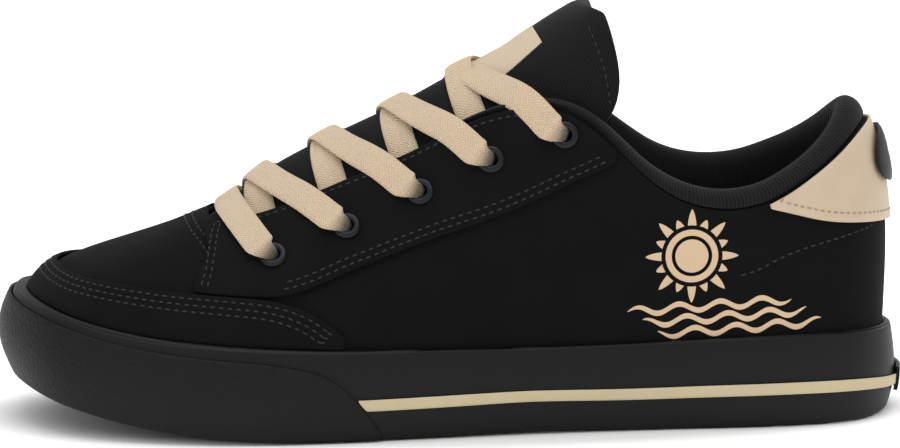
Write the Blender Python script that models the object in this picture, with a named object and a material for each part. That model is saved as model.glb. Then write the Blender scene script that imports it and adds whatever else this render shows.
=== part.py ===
"""A low skateboarding shoe for the left foot, as solids.

Toe toward -X, heel toward +X, the outer (lateral) side toward -Y, up +Z.
The origin is the middle of the heel tread's flat spot, on the floor plane.
Lengths are in millimetres until a mesh is written, which is in metres.
"""

import bisect
import functools
import math

import bmesh
import bpy
import numpy as np

# Main sizes of the shoe
LENGTH = 297.0
BALL_WIDTH = 108.0
HEEL_HEIGHT = 97.0
HEEL_BACK = 34.2
WALL = 2.2
GAP = 0.3
OVERLAY = 1.2
OVERLAY_GAP = 0.53

# Cup sole
SOLE_SIDE = 29.0
SOLE_LIP = 2.0
FOOT_GAP = 0.8
TREAD_DEPTH = 2.2
TREAD_GROOVE = 3.2
BUMPER_THICK = 0.9
STRIPE_THICK = 0.5
PLATE_WIDTH = 24.0
PLATE_THICK = 1.4

# Insole and tongue
INSOLE_THICK = 4.0
TONGUE_THICK = 8.5
TONGUE_CROWN = 12.0
TONGUE_TUCK = 15.0
LABEL_THICK = 0.8

# Collar padding
ROLL_DEPTH = 10.5
ROLL_LEG = 22.0
ROLL_HEIGHT = 7.0

# Eyelets and lace
EYELET_OUTER = 4.4
EYELET_INNER = 2.3
EYELET_HOLE = 3.0
EYELET_SIDES = 8
LACE_WIDTH = 9.0
LACE_THICK = 1.3
LACE_CLEAR = 0.45
LACE_FORWARD = 0.75

# Heel tab and badge
BADGE_THICK = 1.3

# Steps round each outline
SOLE_STEPS = 32
UPPER_PER_ROW = 2

# Outline of the sole from heel to toe, one side at a time.
# along: place on the outline, 0 at the heel and 1 at the toe tip
# outer, inner: distance of each side from the long axis, as shares of BALL_WIDTH
OUTLINE = (
    ("along", "outer", "inner"),
    (0.00, 0.000, 0.000),
    (0.08, 0.172, 0.172),
    (0.16, 0.300, 0.296),
    (0.25, 0.352, 0.340),
    (0.35, 0.368, 0.322),
    (0.45, 0.402, 0.322),
    (0.55, 0.466, 0.410),
    (0.64, 0.500, 0.482),
    (0.74, 0.458, 0.487),
    (0.84, 0.336, 0.420),
    (0.92, 0.146, 0.275),
    (1.00, -0.055, 0.055),
)

# Heights of the sole from heel to toe
# share: distance from the heel back as a share of LENGTH
# under: tread above the floor; top: edge of the side wall; core: floor of the cup above the tread,
# all as shares of SOLE_SIDE
SOLE_ROWS = (
    ("share", "under", "top", "core"),
    (0.00, 0.000, 0.983, 0.62),
    (0.07, 0.000, 1.028, 0.62),
    (0.20, 0.000, 1.007, 0.60),
    (0.32, 0.000, 0.965, 0.52),
    (0.42, 0.035, 0.962, 0.44),
    (0.52, 0.000, 0.990, 0.38),
    (0.62, 0.000, 0.992, 0.36),
    (0.70, 0.000, 1.030, 0.36),
    (0.78, 0.062, 1.080, 0.36),
    (0.86, 0.185, 1.175, 0.36),
    (0.93, 0.350, 1.340, 0.36),
    (1.00, 0.545, 1.530, 0.36),
)

# Cross grooves of the tread: first and last share of LENGTH from the heel back, and their number
TREAD_FIELDS = (
    ("start", "end", "grooves"),
    (0.025, 0.250, 5),
    (0.585, 0.845, 6),
)

# Rounding of the sole's side wall, drawn in at its top and bottom, as shares of BALL_WIDTH
SIDE_ROUND = (
    ("along", "at_top", "at_bottom"),
    (0.00, 0.016, 0.030),
    (0.25, 0.018, 0.015),
    (0.60, 0.018, 0.015),
    (0.80, 0.028, 0.024),
    (0.92, 0.040, 0.040),
    (1.00, 0.048, 0.050),
)

# Columns of the upper from the heel back to the toe, outer side.
# foot: place on the sole outline; top_x, top_y, top_z: its end on the top line, as shares of LENGTH
# from the heel back, BALL_WIDTH and HEEL_HEIGHT; rise, bulge: shoulder above and outside the foot;
# lean: part of the run that the shoulder has made; reach, drop: last control before the top line;
# lift: how much higher the inner side's top line is
UPPER_ROWS = (
    ("foot", "top_x", "top_y", "top_z", "rise", "bulge", "lean", "reach", "drop", "lift"),
    (0.000, 0.036, 0.000, 1.005, 0.380, 0.026, 0.00, 0.080, 0.175, 0.000),
    (0.074, 0.052, 0.118, 0.975, 0.380, 0.026, 0.30, 0.075, 0.175, 0.000),
    (0.134, 0.082, 0.206, 0.897, 0.350, 0.026, 0.30, 0.066, 0.155, 0.005),
    (0.187, 0.122, 0.268, 0.815, 0.320, 0.024, 0.30, 0.056, 0.135, 0.020),
    (0.239, 0.162, 0.306, 0.752, 0.300, 0.024, 0.30, 0.042, 0.124, 0.030),
    (0.288, 0.212, 0.324, 0.731, 0.280, 0.024, 0.30, 0.032, 0.124, 0.036),
    (0.335, 0.263, 0.329, 0.770, 0.290, 0.024, 0.30, 0.032, 0.144, 0.032),
    (0.375, 0.306, 0.319, 0.870, 0.310, 0.026, 0.30, 0.042, 0.175, 0.018),
    (0.411, 0.342, 0.300, 0.985, 0.330, 0.028, 0.30, 0.056, 0.206, 0.006),
    (0.446, 0.380, 0.273, 1.066, 0.340, 0.022, 0.30, 0.074, 0.216, 0.005),
    (0.481, 0.424, 0.245, 1.080, 0.340, 0.020, 0.30, 0.093, 0.206, 0.000),
    (0.517, 0.478, 0.222, 1.036, 0.330, 0.020, 0.30, 0.111, 0.186, 0.000),
    (0.560, 0.545, 0.208, 0.928, 0.320, 0.020, 0.25, 0.120, 0.165, 0.000),
    (0.611, 0.619, 0.199, 0.830, 0.315, 0.022, 0.20, 0.130, 0.149, 0.000),
    (0.673, 0.690, 0.190, 0.737, 0.305, 0.018, 0.15, 0.139, 0.124, 0.000),
    (0.740, 0.743, 0.162, 0.690, 0.290, 0.022, 0.08, 0.167, 0.108, 0.000),
    (0.829, 0.765, 0.102, 0.695, 0.290, 0.026, 0.02, 0.215, 0.110, 0.000),
    (0.902, 0.770, 0.046, 0.705, 0.305, 0.028, 0.00, 0.245, 0.135, 0.000),
    (1.000, 0.772, -0.010, 0.712, 0.335, 0.030, 0.00, 0.260, 0.165, 0.000),
)

# Eyelets on each side, from the toe end
# column: the column of the upper that an eyelet is on; setback: its distance below the top line
EYELETS = (
    ("column", "setback"),
    (13.72, 23.0),
    (12.75, 20.5),
    (11.70, 18.5),
    (10.50, 17.0),
    (8.95, 8.0),
)

# Overlays on the upper, between two places on each column.
# column: the column of the upper; low, high: places on it, 0 at the foot and 1 at the top line
TOE_CAP = (
    ("column", "high"),
    (12.50, 0.34),
    (12.75, 0.41),
    (13.10, 0.48),
    (13.60, 0.53),
    (14.60, 0.57),
    (15.40, 0.57),
    (16.20, 0.54),
    (17.00, 0.52),
    (18.00, 0.51),
)
EYESTAY = (
    ("column", "low", "high"),
    (7.60, 0.940, 0.985),
    (8.00, 0.865, 0.985),
    (8.50, 0.794, 0.985),
    (9.20, 0.720, 0.985),
    (9.80, 0.680, 0.985),
    (10.50, 0.652, 0.985),
    (11.80, 0.633, 0.985),
    (12.40, 0.612, 0.985),
    (13.00, 0.570, 0.985),
    (13.35, 0.527, 0.985),
    (13.70, 0.546, 0.985),
    (14.72, 0.582, 0.985),
    (14.80, 0.800, 0.985),
    (15.20, 0.890, 0.985),
    (15.65, 0.950, 0.985),
)
HEEL_TAB = (
    ("column", "low", "high"),
    (-4.00, 0.965, 0.995),
    (-3.50, 0.875, 0.995),
    (-3.00, 0.785, 0.995),
    (-2.00, 0.672, 0.995),
    (-1.00, 0.602, 0.995),
    (0.00, 0.572, 0.995),
    (1.00, 0.602, 0.995),
    (2.00, 0.672, 0.995),
    (3.00, 0.785, 0.995),
    (3.50, 0.875, 0.995),
    (4.00, 0.965, 0.995),
)

# Toe bumper: its upper edge on the side wall, from its rear end to the toe tip
BUMPER = (
    ("along", "low", "high"),
    (0.556, 0.03, 0.10),
    (0.567, 0.03, 0.36),
    (0.581, 0.03, 0.63),
    (0.600, 0.03, 0.80),
    (0.640, 0.03, 0.875),
    (0.740, 0.03, 0.905),
    (1.000, 0.03, 0.930),
)
STRIPE = (
    ("along", "low", "high"),
    (0.055, 0.320, 0.440),
    (0.150, 0.372, 0.500),
    (0.450, 0.385, 0.515),
    (0.566, 0.360, 0.487),
    (0.5715, 0.465, 0.487),
)

# Tongue above the eyelets: its middle line and its outer edge, from the eyestay's top to its own top.
# mid_x, mid_z, edge_x, edge_z, bend_x, bend_z: shares of LENGTH from the heel back and of HEEL_HEIGHT;
# edge_y, bend_y: shares of BALL_WIDTH
TONGUE_TOP = (
    ("place", "mid_x", "mid_z", "bend_x", "bend_y", "bend_z", "edge_x", "edge_y", "edge_z"),
    (0.76, 0.441, 1.276, 0.405, 0.190, 1.135, 0.335, 0.222, 0.960),
    (0.88, 0.399, 1.352, 0.370, 0.190, 1.275, 0.318, 0.235, 1.150),
    (1.00, 0.366, 1.402, 0.348, 0.165, 1.394, 0.338, 0.225, 1.382),
)
TONGUE_UNDER = (
    ("place", "column", "crown", "depth", "forward"),
    (0.00, 15.50, 0.00, 4.1, 1.05),
    (0.08, 14.90, 0.58, 3.6, 0.33),
    (0.20, 14.20, 1.20, 3.3, 0.00),
    (0.34, 13.00, 1.40, 3.4, 0.00),
    (0.48, 11.80, 1.44, 4.2, 0.00),
    (0.62, 10.60, 1.56, 5.2, 0.00),
)


@functools.lru_cache(maxsize=None)
def slopes(xs, ys):
    """The slope at each point, taken from its neighbours."""
    steps = [b - a for a, b in zip(xs, xs[1:])]
    slope = [(b - a) / h for a, b, h in zip(ys, ys[1:], steps)]
    inner = [
        (steps[i] * slope[i + 1] + steps[i + 1] * slope[i]) / (steps[i] + steps[i + 1])
        for i in range(len(slope) - 1)
    ]
    return steps, [slope[0]] + inner + [slope[-1]]


def smooth(xs, ys, x):
    """A smooth curve through the points, read at x."""
    xs = tuple(xs)
    ys = tuple(ys)
    steps, tangent = slopes(xs, ys)
    i = min(max(bisect.bisect_left(xs, x) - 1, 0), len(xs) - 2)
    q = (x - xs[i]) / steps[i]
    a = (1 + 2 * q) * (1 - q) ** 2
    b = q * (1 - q) ** 2
    c = q * q * (3 - 2 * q)
    d = q * q * (q - 1)
    return a * ys[i] + b * steps[i] * tangent[i] + c * ys[i + 1] + d * steps[i] * tangent[i + 1]


@functools.lru_cache(maxsize=None)
def column_of(table, name):
    k = table[0].index(name)
    return tuple(row[k] for row in table[1:])


def read(table, key, name, x):
    """One named column of a table, at place x of its key column."""
    return smooth(column_of(table, key), column_of(table, name), x)


def read_straight(table, key, name, x):
    return float(np.interp(x, column_of(table, key), column_of(table, name)))


@functools.lru_cache(maxsize=None)
def loop_points(table, key, outer, inner, turn):
    keys = column_of(table, key)
    period = 2 * keys[-1]
    xs = list(keys) + [period - k for k in keys[-2::-1]]
    ys = [turn * v for v in column_of(table, outer)] + list(column_of(table, inner)[-2::-1])
    around_x = [v - period for v in xs[-4:-1]] + xs + [v + period for v in xs[1:4]]
    around_y = ys[-4:-1] + ys + ys[1:4]
    return period, tuple(around_x), tuple(around_y)


def looped(table, key, outer, inner, x, turn=-1.0):
    """As read, round the whole shoe: x from 0 at the heel to 1 at the toe on the outer side, and on to 2."""
    period, xs, ys = loop_points(table, key, outer, inner, turn)
    return smooth(xs, ys, x % period)


def half(p):
    """Place from the heel to the toe, 0 to 1, of a place p round the whole loop."""
    p = p % 2.0
    return p if p <= 1.0 else 2.0 - p


@functools.lru_cache(maxsize=None)
def outline_base(p):
    share = (1 - math.cos(math.pi * half(p))) / 2
    return np.array([HEEL_BACK - LENGTH * share, BALL_WIDTH * looped(OUTLINE, "along", "outer", "inner", p)])


def outline(p, inset):
    """A point of the sole's plan outline, drawn in by inset, and the way out from it."""
    a = outline_base(p - 0.004)
    b = outline_base(p + 0.004)
    along = (b - a) / np.linalg.norm(b - a)
    out = np.array([along[1], -along[0]])
    middle = np.array([HEEL_BACK - LENGTH / 2, 0.0])
    base = outline_base(p)
    if np.dot(out, base - middle) < 0:
        out = -out
    return base - out * inset, out


def share_of(x):
    return float(np.clip((HEEL_BACK - x) / LENGTH, 0.0, 1.0))


def under_z(x):
    return max(0.0, SOLE_SIDE * read_straight(SOLE_ROWS, "share", "under", share_of(x)))


def top_z(x):
    return SOLE_SIDE * read(SOLE_ROWS, "share", "top", share_of(x))


def floor_z(x):
    return under_z(x) + SOLE_SIDE * read(SOLE_ROWS, "share", "core", share_of(x))


def side_inset(p, high):
    """How far the side wall is drawn in at a height, 0 at the tread and 1 at its top."""
    t = half(p)
    fullest = 0.45
    if high > fullest:
        return BALL_WIDTH * read(SIDE_ROUND, "along", "at_top", t) * ((high - fullest) / (1 - fullest)) ** 2
    return BALL_WIDTH * read(SIDE_ROUND, "along", "at_bottom", t) * ((fullest - high) / fullest) ** 2


def sole_side(p, high, out=0.0):
    """A point of the sole's outer side wall."""
    xy, way = outline(p, side_inset(p, high) - out)
    low = under_z(xy[0])
    return np.array([xy[0], xy[1], low + (top_z(xy[0]) - low) * high])


def cup_inset(p):
    return side_inset(p, 1.0) + SOLE_LIP


LAST_COLUMN = len(UPPER_ROWS) - 2
NUMBERED_ROWS = (("k",) + UPPER_ROWS[0],) + tuple((i,) + row for i, row in enumerate(UPPER_ROWS[1:]))


def upper_row(k, name):
    """A value of the upper's table at column k, 0 at the heel and LAST_COLUMN at the toe, then back."""
    return looped(NUMBERED_ROWS, "k", name, name, k, turn=-1.0 if name == "top_y" else 1.0)


@functools.lru_cache(maxsize=None)
def upper_controls(k):
    """The five controls of the curve that column k of the upper follows, from its foot to the top line."""
    foot = upper_row(k, "foot")
    inner = (k % (2 * LAST_COLUMN)) > LAST_COLUMN
    p = 2.0 - foot if inner else foot
    xy, out = outline(p, cup_inset(p) + FOOT_GAP)
    base = np.array([xy[0], xy[1], floor_z(xy[0]) + GAP])
    lift = upper_row(k, "lift") if inner else 0.0
    top = np.array([
        HEEL_BACK - LENGTH * upper_row(k, "top_x"),
        BALL_WIDTH * upper_row(k, "top_y"),
        HEEL_HEIGHT * (upper_row(k, "top_z") + lift),
    ])
    rise = HEEL_HEIGHT * upper_row(k, "rise")
    bulge = BALL_WIDTH * upper_row(k, "bulge")
    lean = upper_row(k, "lean")
    run = top[:2] - base[:2]
    shoulder = base + np.array([out[0] * bulge + run[0] * lean, out[1] * bulge, rise])
    knee = base + np.array([0.0, 0.0, rise * 0.5])
    back = -run / max(np.linalg.norm(run), 1.0)
    reach = BALL_WIDTH * upper_row(k, "reach")
    crest = top + np.array([back[0] * reach, back[1] * reach, -HEEL_HEIGHT * upper_row(k, "drop")])
    return base, knee, shoulder, crest, top


def upper_face(k, v):
    c = upper_controls(k)
    w = 1 - v
    return (
        c[0] * w**4 + c[1] * 4 * v * w**3 + c[2] * 6 * v**2 * w**2 + c[3] * 4 * v**3 * w + c[4] * v**4
    )


def upper_way_out(k, v):
    """The way out of the upper's surface."""
    dk = upper_face(k + 0.08, v) - upper_face(k - 0.08, v)
    lo, hi = max(v - 0.02, 0.0), min(v + 0.02, 1.0)
    dv = upper_face(k, hi) - upper_face(k, lo)
    out = np.cross(dk, dv)
    out = out / np.linalg.norm(out)
    middle = np.array([upper_face(k, v)[0] * 0.92 - 8.0, 0.0, HEEL_HEIGHT * 0.30])
    return out if np.dot(out, upper_face(k, v) - middle) > 0 else -out


def upper_point(k, v, out=0.0):
    """A point on the upper's surface, or out millimetres outside it."""
    return upper_face(k, v) + (upper_way_out(k, v) * out if out else 0.0)


def place_below_top(k, distance):
    """The place v on column k that lies a distance below the top line."""
    v = 1.0
    point = upper_face(k, v)
    done = 0.0
    while done < distance and v > 0.0:
        v -= 0.005
        following = upper_face(k, v)
        done += np.linalg.norm(following - point)
        point = following
    return v


def unit(v):
    return v / max(float(np.linalg.norm(v)), 1e-9)


# Materials
def linear(value):
    return value / 12.92 if value <= 0.04045 else ((value + 0.055) / 1.055) ** 2.4


def material(name, hex_colour, roughness, metallic=0.0):
    made = bpy.data.materials.new(name)
    made.use_nodes = True
    shader = made.node_tree.nodes["Principled BSDF"]
    parts = [int(hex_colour[i : i + 2], 16) / 255 for i in (0, 2, 4)]
    shader.inputs["Base Color"].default_value = [linear(p) for p in parts] + [1.0]
    shader.inputs["Roughness"].default_value = roughness
    shader.inputs["Metallic"].default_value = metallic
    made.diffuse_color = [linear(p) for p in parts] + [1.0]
    return made


def mesh_object(name, points, faces, made, soft=True):
    """One closed mesh object with its faces turned outward."""
    mesh = bpy.data.meshes.new(name)
    mesh.from_pydata([tuple(float(c) * 0.001 for c in p) for p in points], [], faces)
    shape = bmesh.new()
    shape.from_mesh(mesh)
    bmesh.ops.recalc_face_normals(shape, faces=shape.faces)
    for face in shape.faces:
        face.smooth = soft
    for edge in shape.edges:
        if len(edge.link_faces) == 2 and edge.calc_face_angle(0.0) > math.radians(40):
            edge.smooth = False
    shape.to_mesh(mesh)
    shape.free()
    mesh.materials.append(made)
    obj = bpy.data.objects.new(name, mesh)
    bpy.context.scene.collection.objects.link(obj)
    return obj


def grid_solid(name, face, back, made, closed=False):
    """A wall between two grids of points, each a list of columns. closed joins the last column to the first."""
    points = []
    faces = []
    face_at = []
    back_at = []
    for grid, index in ((face, face_at), (back, back_at)):
        for column in grid:
            index.append(list(range(len(points), len(points) + len(column))))
            points.extend(column)
    count = len(face)
    for i in range(count if closed else count - 1):
        j = (i + 1) % count
        for index in (face_at, back_at):
            for r in range(len(index[i]) - 1):
                faces.append((index[i][r], index[j][r], index[j][r + 1], index[i][r + 1]))
        faces.append((face_at[i][0], back_at[i][0], back_at[j][0], face_at[j][0]))
        faces.append((face_at[i][-1], face_at[j][-1], back_at[j][-1], back_at[i][-1]))
    if not closed:
        for i in (0, count - 1):
            faces.append(tuple(face_at[i] + back_at[i][::-1]))
    return mesh_object(name, points, faces, made)


def ring_solid(name, rings, made):
    """A tube-like solid through closed rings of points, with both ends filled."""
    points = [p for ring in rings for p in ring]
    n = len(rings[0])
    faces = []
    for i in range(len(rings) - 1):
        for j in range(n):
            k = (j + 1) % n
            faces.append((i * n + j, i * n + k, (i + 1) * n + k, (i + 1) * n + j))
    faces.append(tuple(range(n))[::-1])
    faces.append(tuple((len(rings) - 1) * n + j for j in range(n)))
    return mesh_object(name, points, faces, made)


# Cup sole: one moulded piece with its side wall, cup and tread
def build_cup_sole(made):
    places = [i / SOLE_STEPS for i in range(2 * SOLE_STEPS)]
    rows = (0.0, 0.05, 0.22, 0.45, 0.70, 0.92, 1.0)
    points = []
    rings = []
    for high in rows:
        ring = []
        for p in places:
            point = sole_side(p, high)
            if high == 0.0:
                xy, way = outline(p, side_inset(p, 0.0) + 1.2)
                point = np.array([xy[0], xy[1], under_z(xy[0])])
            ring.append(len(points))
            points.append(point)
        rings.append(ring)
    for inset_more, level in ((0.0, "top"), (0.0, "floor")):
        ring = []
        for p in places:
            xy, way = outline(p, cup_inset(p) + inset_more)
            z = top_z(xy[0]) if level == "top" else floor_z(xy[0])
            ring.append(len(points))
            points.append(np.array([xy[0], xy[1], z]))
        rings.append(ring)
    faces = []
    n = len(places)
    for a, b in zip(rings, rings[1:]):
        for i in range(n):
            j = (i + 1) % n
            faces.append((a[i], a[j], b[j], b[i]))
    for ring in (rings[0], rings[-1]):
        for i in range(SOLE_STEPS):
            one = [ring[i], ring[i + 1], ring[(n - i - 1) % n], ring[(n - i) % n]]
            faces.append(tuple(dict.fromkeys(one)))
    sole = mesh_object("cup_sole", points, faces, made)
    cut_tread(sole)
    return sole


def cut_tread(sole):
    """Cross grooves under the heel and the forefoot, as one mesh of separate bars."""
    corners = []
    faces = []
    for start, end, count in TREAD_FIELDS[1:]:
        for i in range(count):
            share = start + (end - start) * (i + 0.5) / count
            x = HEEL_BACK - LENGTH * share
            p = math.acos(1 - 2 * share) / math.pi
            half_out = abs(outline_base(p)[1]) * 0.80
            half_in = abs(outline_base(2 - p)[1]) * 0.80
            base = len(corners)
            for dx in (-TREAD_GROOVE / 2, TREAD_GROOVE / 2):
                z = under_z(x + dx)
                for y in (-half_out, half_in):
                    for dz in (-3.0, TREAD_DEPTH):
                        corners.append((x + dx, y, z + dz))
            for f in ((0, 1, 3, 2), (4, 6, 7, 5), (0, 4, 5, 1), (2, 3, 7, 6), (0, 2, 6, 4), (1, 5, 7, 3)):
                faces.append(tuple(base + c for c in f))
    cutter = mesh_object("tread_cutter", corners, faces, sole.data.materials[0], soft=False)
    cut(sole, cutter)


def cut(obj, cutter):
    cutter.hide_render = True
    cutter.display_type = "WIRE"
    tool = obj.modifiers.new("cut", "BOOLEAN")
    tool.operation = "DIFFERENCE"
    tool.solver = "EXACT"
    tool.object = cutter


def spread(*runs):
    """Places along several runs, each given as its start, its end and its number of steps."""
    found = [runs[0][0]]
    for start, end, count in runs:
        found += [start + (end - start) * (i + 1) / count for i in range(count)]
    return found


def on_sole(name, table, thick, made, places, rows):
    """A band on the sole's side wall between two heights."""
    face = []
    back = []
    for p in places:
        t = half(p)
        low = read_straight(table, "along", "low", t)
        high = read_straight(table, "along", "high", t)
        face.append([sole_side(p, low + (high - low) * r / rows, GAP + thick) for r in range(rows + 1)])
        back.append([sole_side(p, low + (high - low) * r / rows, GAP) for r in range(rows + 1)])
    return grid_solid(name, face, back, made)


# Upper: one hollow wall, open at the collar, throat and underneath
def build_upper(made):
    count = LAST_COLUMN * UPPER_PER_ROW * 2
    face_rows = [0.0, 0.13, 0.25, 0.36, 0.46, 0.56, 0.66, 0.77, 0.88, 1.0]
    back_rows = [0.0, 0.24, 0.43, 0.62, 0.81, 1.0]
    face = []
    back = []
    for i in range(count):
        k = i / UPPER_PER_ROW
        face.append([upper_point(k, v) for v in face_rows])
        back.append([upper_point(k, v, -WALL) for v in back_rows])
    return grid_solid("upper", face, back, made, closed=True)


def place_above_sole(k):
    """The lowest place of column k that an overlay can take, just above the sole's edge."""
    v = 0.20
    while upper_face(k, v)[2] < top_z(upper_face(k, v)[0]) + 0.5:
        v += 0.004
    return v


def on_upper(name, table, made, columns, rows, thick=OVERLAY):
    """An overlay on the upper between two places of each column, or from the sole's edge up."""
    face = []
    back = []
    for k in columns:
        place = k if k <= LAST_COLUMN else 2 * LAST_COLUMN - k
        low = read_straight(table, "column", "low", place) if "low" in table[0] else place_above_sole(k)
        high = read_straight(table, "column", "high", place)
        steps = [low + (high - low) * r / rows for r in range(rows + 1)]
        face.append([upper_point(k, v, OVERLAY_GAP + thick) for v in steps])
        back.append([upper_point(k, v, OVERLAY_GAP) for v in steps])
    return grid_solid(name, face, back, made)


def build_collar(made):
    """The padded roll round the collar, with its leg inside the upper."""
    ends = 11.3
    count = 42
    rings = []
    for i in range(count + 1):
        k = -ends + 2 * ends * i / count
        fill = float(np.clip((9.6 - abs(k)) / 3.8, 0.0, 1.0))
        fill = fill * fill * (3 - 2 * fill)
        depth = 3.5 + (ROLL_DEPTH - 3.5) * fill
        leg = 2.0 + (ROLL_LEG - 2.0) * fill
        height = 3.2 + (ROLL_HEIGHT - 3.2) * fill
        height += 3.0 * max(0.0, 1 - abs(k) / 2.5)
        point = upper_face(k % (2 * LAST_COLUMN), 1.0)
        inward = -upper_way_out(k % (2 * LAST_COLUMN), 1.0)
        up = unit(point - upper_face(k % (2 * LAST_COLUMN), 0.93))
        wall = WALL + 0.70
        profile = (
            (0.1, 0.5),
            (-0.5, height * 0.45),
            (depth * 0.18, height * 0.88),
            (depth * 0.52, height),
            (depth * 0.86, height * 0.72),
            (depth, height * 0.12),
            (depth * 0.94, -leg * 0.55),
            (wall + 0.25 * (depth - wall), -leg),
            (wall, -leg * 0.96),
            (wall, 0.5),
        )
        ring = []
        for d, h in profile:
            if h < 0:
                v = place_below_top(k % (2 * LAST_COLUMN), -h)
                ring.append(upper_point(k % (2 * LAST_COLUMN), v, -d))
            else:
                ring.append(point + inward * d + up * h)
        rings.append(ring)
    return ring_solid("collar_padding", rings, made)


# Tongue
@functools.lru_cache(maxsize=None)
def tongue_controls(place):
    """Outer edge, bend, middle, bend and inner edge of the tongue's front face at a place along it."""
    limit = TONGUE_UNDER[-1][0]
    start = TONGUE_TOP[1][0]

    def below(q):
        k = read(TONGUE_UNDER, "place", "column", q)
        crown = TONGUE_CROWN * read(TONGUE_UNDER, "place", "crown", q)
        depth = read(TONGUE_UNDER, "place", "depth", q)
        sides = []
        for column in (k, 2 * LAST_COLUMN - k):
            v = place_below_top(column, TONGUE_TUCK)
            sides.append(upper_point(column, v, -depth))
            sides.append(upper_point(column, 1.0, -depth))
        edge_a, bend_a, edge_b, bend_b = sides
        ridge_a = upper_face(max(k - 1.5, 9.0), 1.0)
        ridge_b = upper_face(min(k + 1.5, 18.0), 1.0)
        way = unit((ridge_a - ridge_b) * np.array([1.0, 0.0, 1.0]))
        raised = np.array([-way[2], 0.0, way[0]])
        forward = TONGUE_CROWN * read(TONGUE_UNDER, "place", "forward", q)
        middle = (bend_a + bend_b) / 2 + raised * crown - way * forward
        bend_a, bend_b = bend_a - way * forward * 0.75, bend_b - way * forward * 0.75
        edge_a, edge_b = edge_a - way * forward * 0.20, edge_b - way * forward * 0.20
        return [edge_a, bend_a, middle, bend_b, edge_b]

    def above(q):
        def at(name):
            return read(TONGUE_TOP, "place", name, q)

        shapes = []
        for side in (-1.0, 1.0):
            for part in ("edge", "bend"):
                shapes.append(np.array([
                    HEEL_BACK - LENGTH * at(part + "_x"),
                    side * BALL_WIDTH * at(part + "_y"),
                    HEEL_HEIGHT * at(part + "_z"),
                ]))
        middle = np.array([HEEL_BACK - LENGTH * at("mid_x"), 0.0, HEEL_HEIGHT * at("mid_z")])
        return [shapes[0], shapes[1], middle, shapes[3], shapes[2]]

    if place <= limit:
        return below(place)
    if place >= start:
        return above(place)
    keys = (0.34, 0.48, limit, start, 0.88, 1.0)
    found = [below(q) if q <= limit else above(q) for q in keys]
    return [
        np.array([smooth(keys, [f[i][c] for f in found], place) for c in range(3)]) for i in range(5)
    ]


def tongue_face(across, place):
    """The tongue's front face: across from -1 at its outer edge to 1 at its inner edge."""
    c = tongue_controls(place)
    keys = (-1.0, -0.55, 0.0, 0.55, 1.0)
    return np.array([smooth(keys, [p[i] for p in c], across) for i in range(3)])


def tongue_way_out(across, place):
    da = tongue_face(min(across + 0.1, 1.0), place) - tongue_face(max(across - 0.1, -1.0), place)
    along = tongue_controls(min(place + 0.06, 1.0))[2] - tongue_controls(max(place - 0.06, 0.0))[2]
    return unit(np.cross(along, da))


def tongue_point(across, place, out=0.0):
    return tongue_face(across, place) + tongue_way_out(across, place) * out


def tongue_back(across, place):
    """The tongue's back face, drawn in toward the line between its two edges."""
    c = tongue_controls(place)
    core = (c[0] + c[4]) / 2
    grown = min(1.0, 0.30 + max(place - 0.10, 0.0) * 1.5)
    end = 1.0 - 0.40 * max(0.0, (place - 0.9) / 0.1) ** 2
    shares = (0.34, 0.85, 1.0, 0.85, 0.34)
    inner = [p + unit(core - p) * TONGUE_THICK * grown * end * share for p, share in zip(c, shares)]
    keys = (-1.0, -0.55, 0.0, 0.55, 1.0)
    return np.array([smooth(keys, [p[i] for p in inner], across) for i in range(3)])


def build_tongue(made):
    acrosses = (-1.0, -0.8, -0.55, -0.28, 0.0, 0.28, 0.55, 0.8, 1.0)
    back_acrosses = (-1.0, -0.7, -0.35, 0.0, 0.35, 0.7, 1.0)
    places = (0.0, 0.04, 0.08, 0.14, 0.20, 0.27, 0.36, 0.46, 0.55, 0.64, 0.72, 0.80, 0.88, 0.95, 1.0)
    face = [[tongue_face(a, q) for a in acrosses] for q in places]
    back = [[tongue_back(a, q) for a in back_acrosses] for q in places]
    return grid_solid("tongue", face, back, made)


def build_label(made):
    places = [0.752, 0.775, 0.80, 0.828]
    acrosses = (-0.38, -0.22, 0.0, 0.22, 0.38)
    clear = GAP + 0.15
    face = [[tongue_point(a, q, clear + LABEL_THICK) for a in acrosses] for q in places]
    back = [[tongue_point(a, q, clear) for a in acrosses] for q in places]
    return grid_solid("tongue_label", face, back, made)


def build_insole(made):
    steps = 24
    places = [i / steps for i in range(2 * steps)]
    points = []
    rings = []
    for level in (0, 1):
        ring = []
        for p in places:
            xy, way = outline(p, cup_inset(p) + FOOT_GAP + WALL + 0.9)
            ring.append(len(points))
            points.append(np.array([xy[0], xy[1], floor_z(xy[0]) + GAP + INSOLE_THICK * level]))
        rings.append(ring)
    n = len(places)
    faces = []
    for i in range(n):
        j = (i + 1) % n
        faces.append((rings[0][i], rings[0][j], rings[1][j], rings[1][i]))
    for ring in rings:
        for i in range(steps):
            one = [ring[i], ring[i + 1], ring[(n - i - 1) % n], ring[(n - i) % n]]
            faces.append(tuple(dict.fromkeys(one)))
    return mesh_object("insole", points, faces, made)


# Eyelets
def eyelet_seat(number, inner):
    """Centre of an eyelet on the upper's surface, the way out, and its column."""
    k, setback = EYELETS[number + 1]
    k = 2 * LAST_COLUMN - k if inner else k
    v = place_below_top(k, setback)
    return upper_face(k, v), upper_way_out(k, v), k, v


def frame_of(way):
    side = unit(np.cross(way, np.array([0.0, 0.0, 1.0])))
    return side, unit(np.cross(side, way))


def turned(centre, way, profile, steps):
    side, rise = frame_of(way)
    rings = []
    for i in range(steps):
        a = 2 * math.pi * i / steps
        ray = side * math.cos(a) + rise * math.sin(a)
        rings.append([centre + ray * r + way * h for r, h in profile])
    return rings


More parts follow.
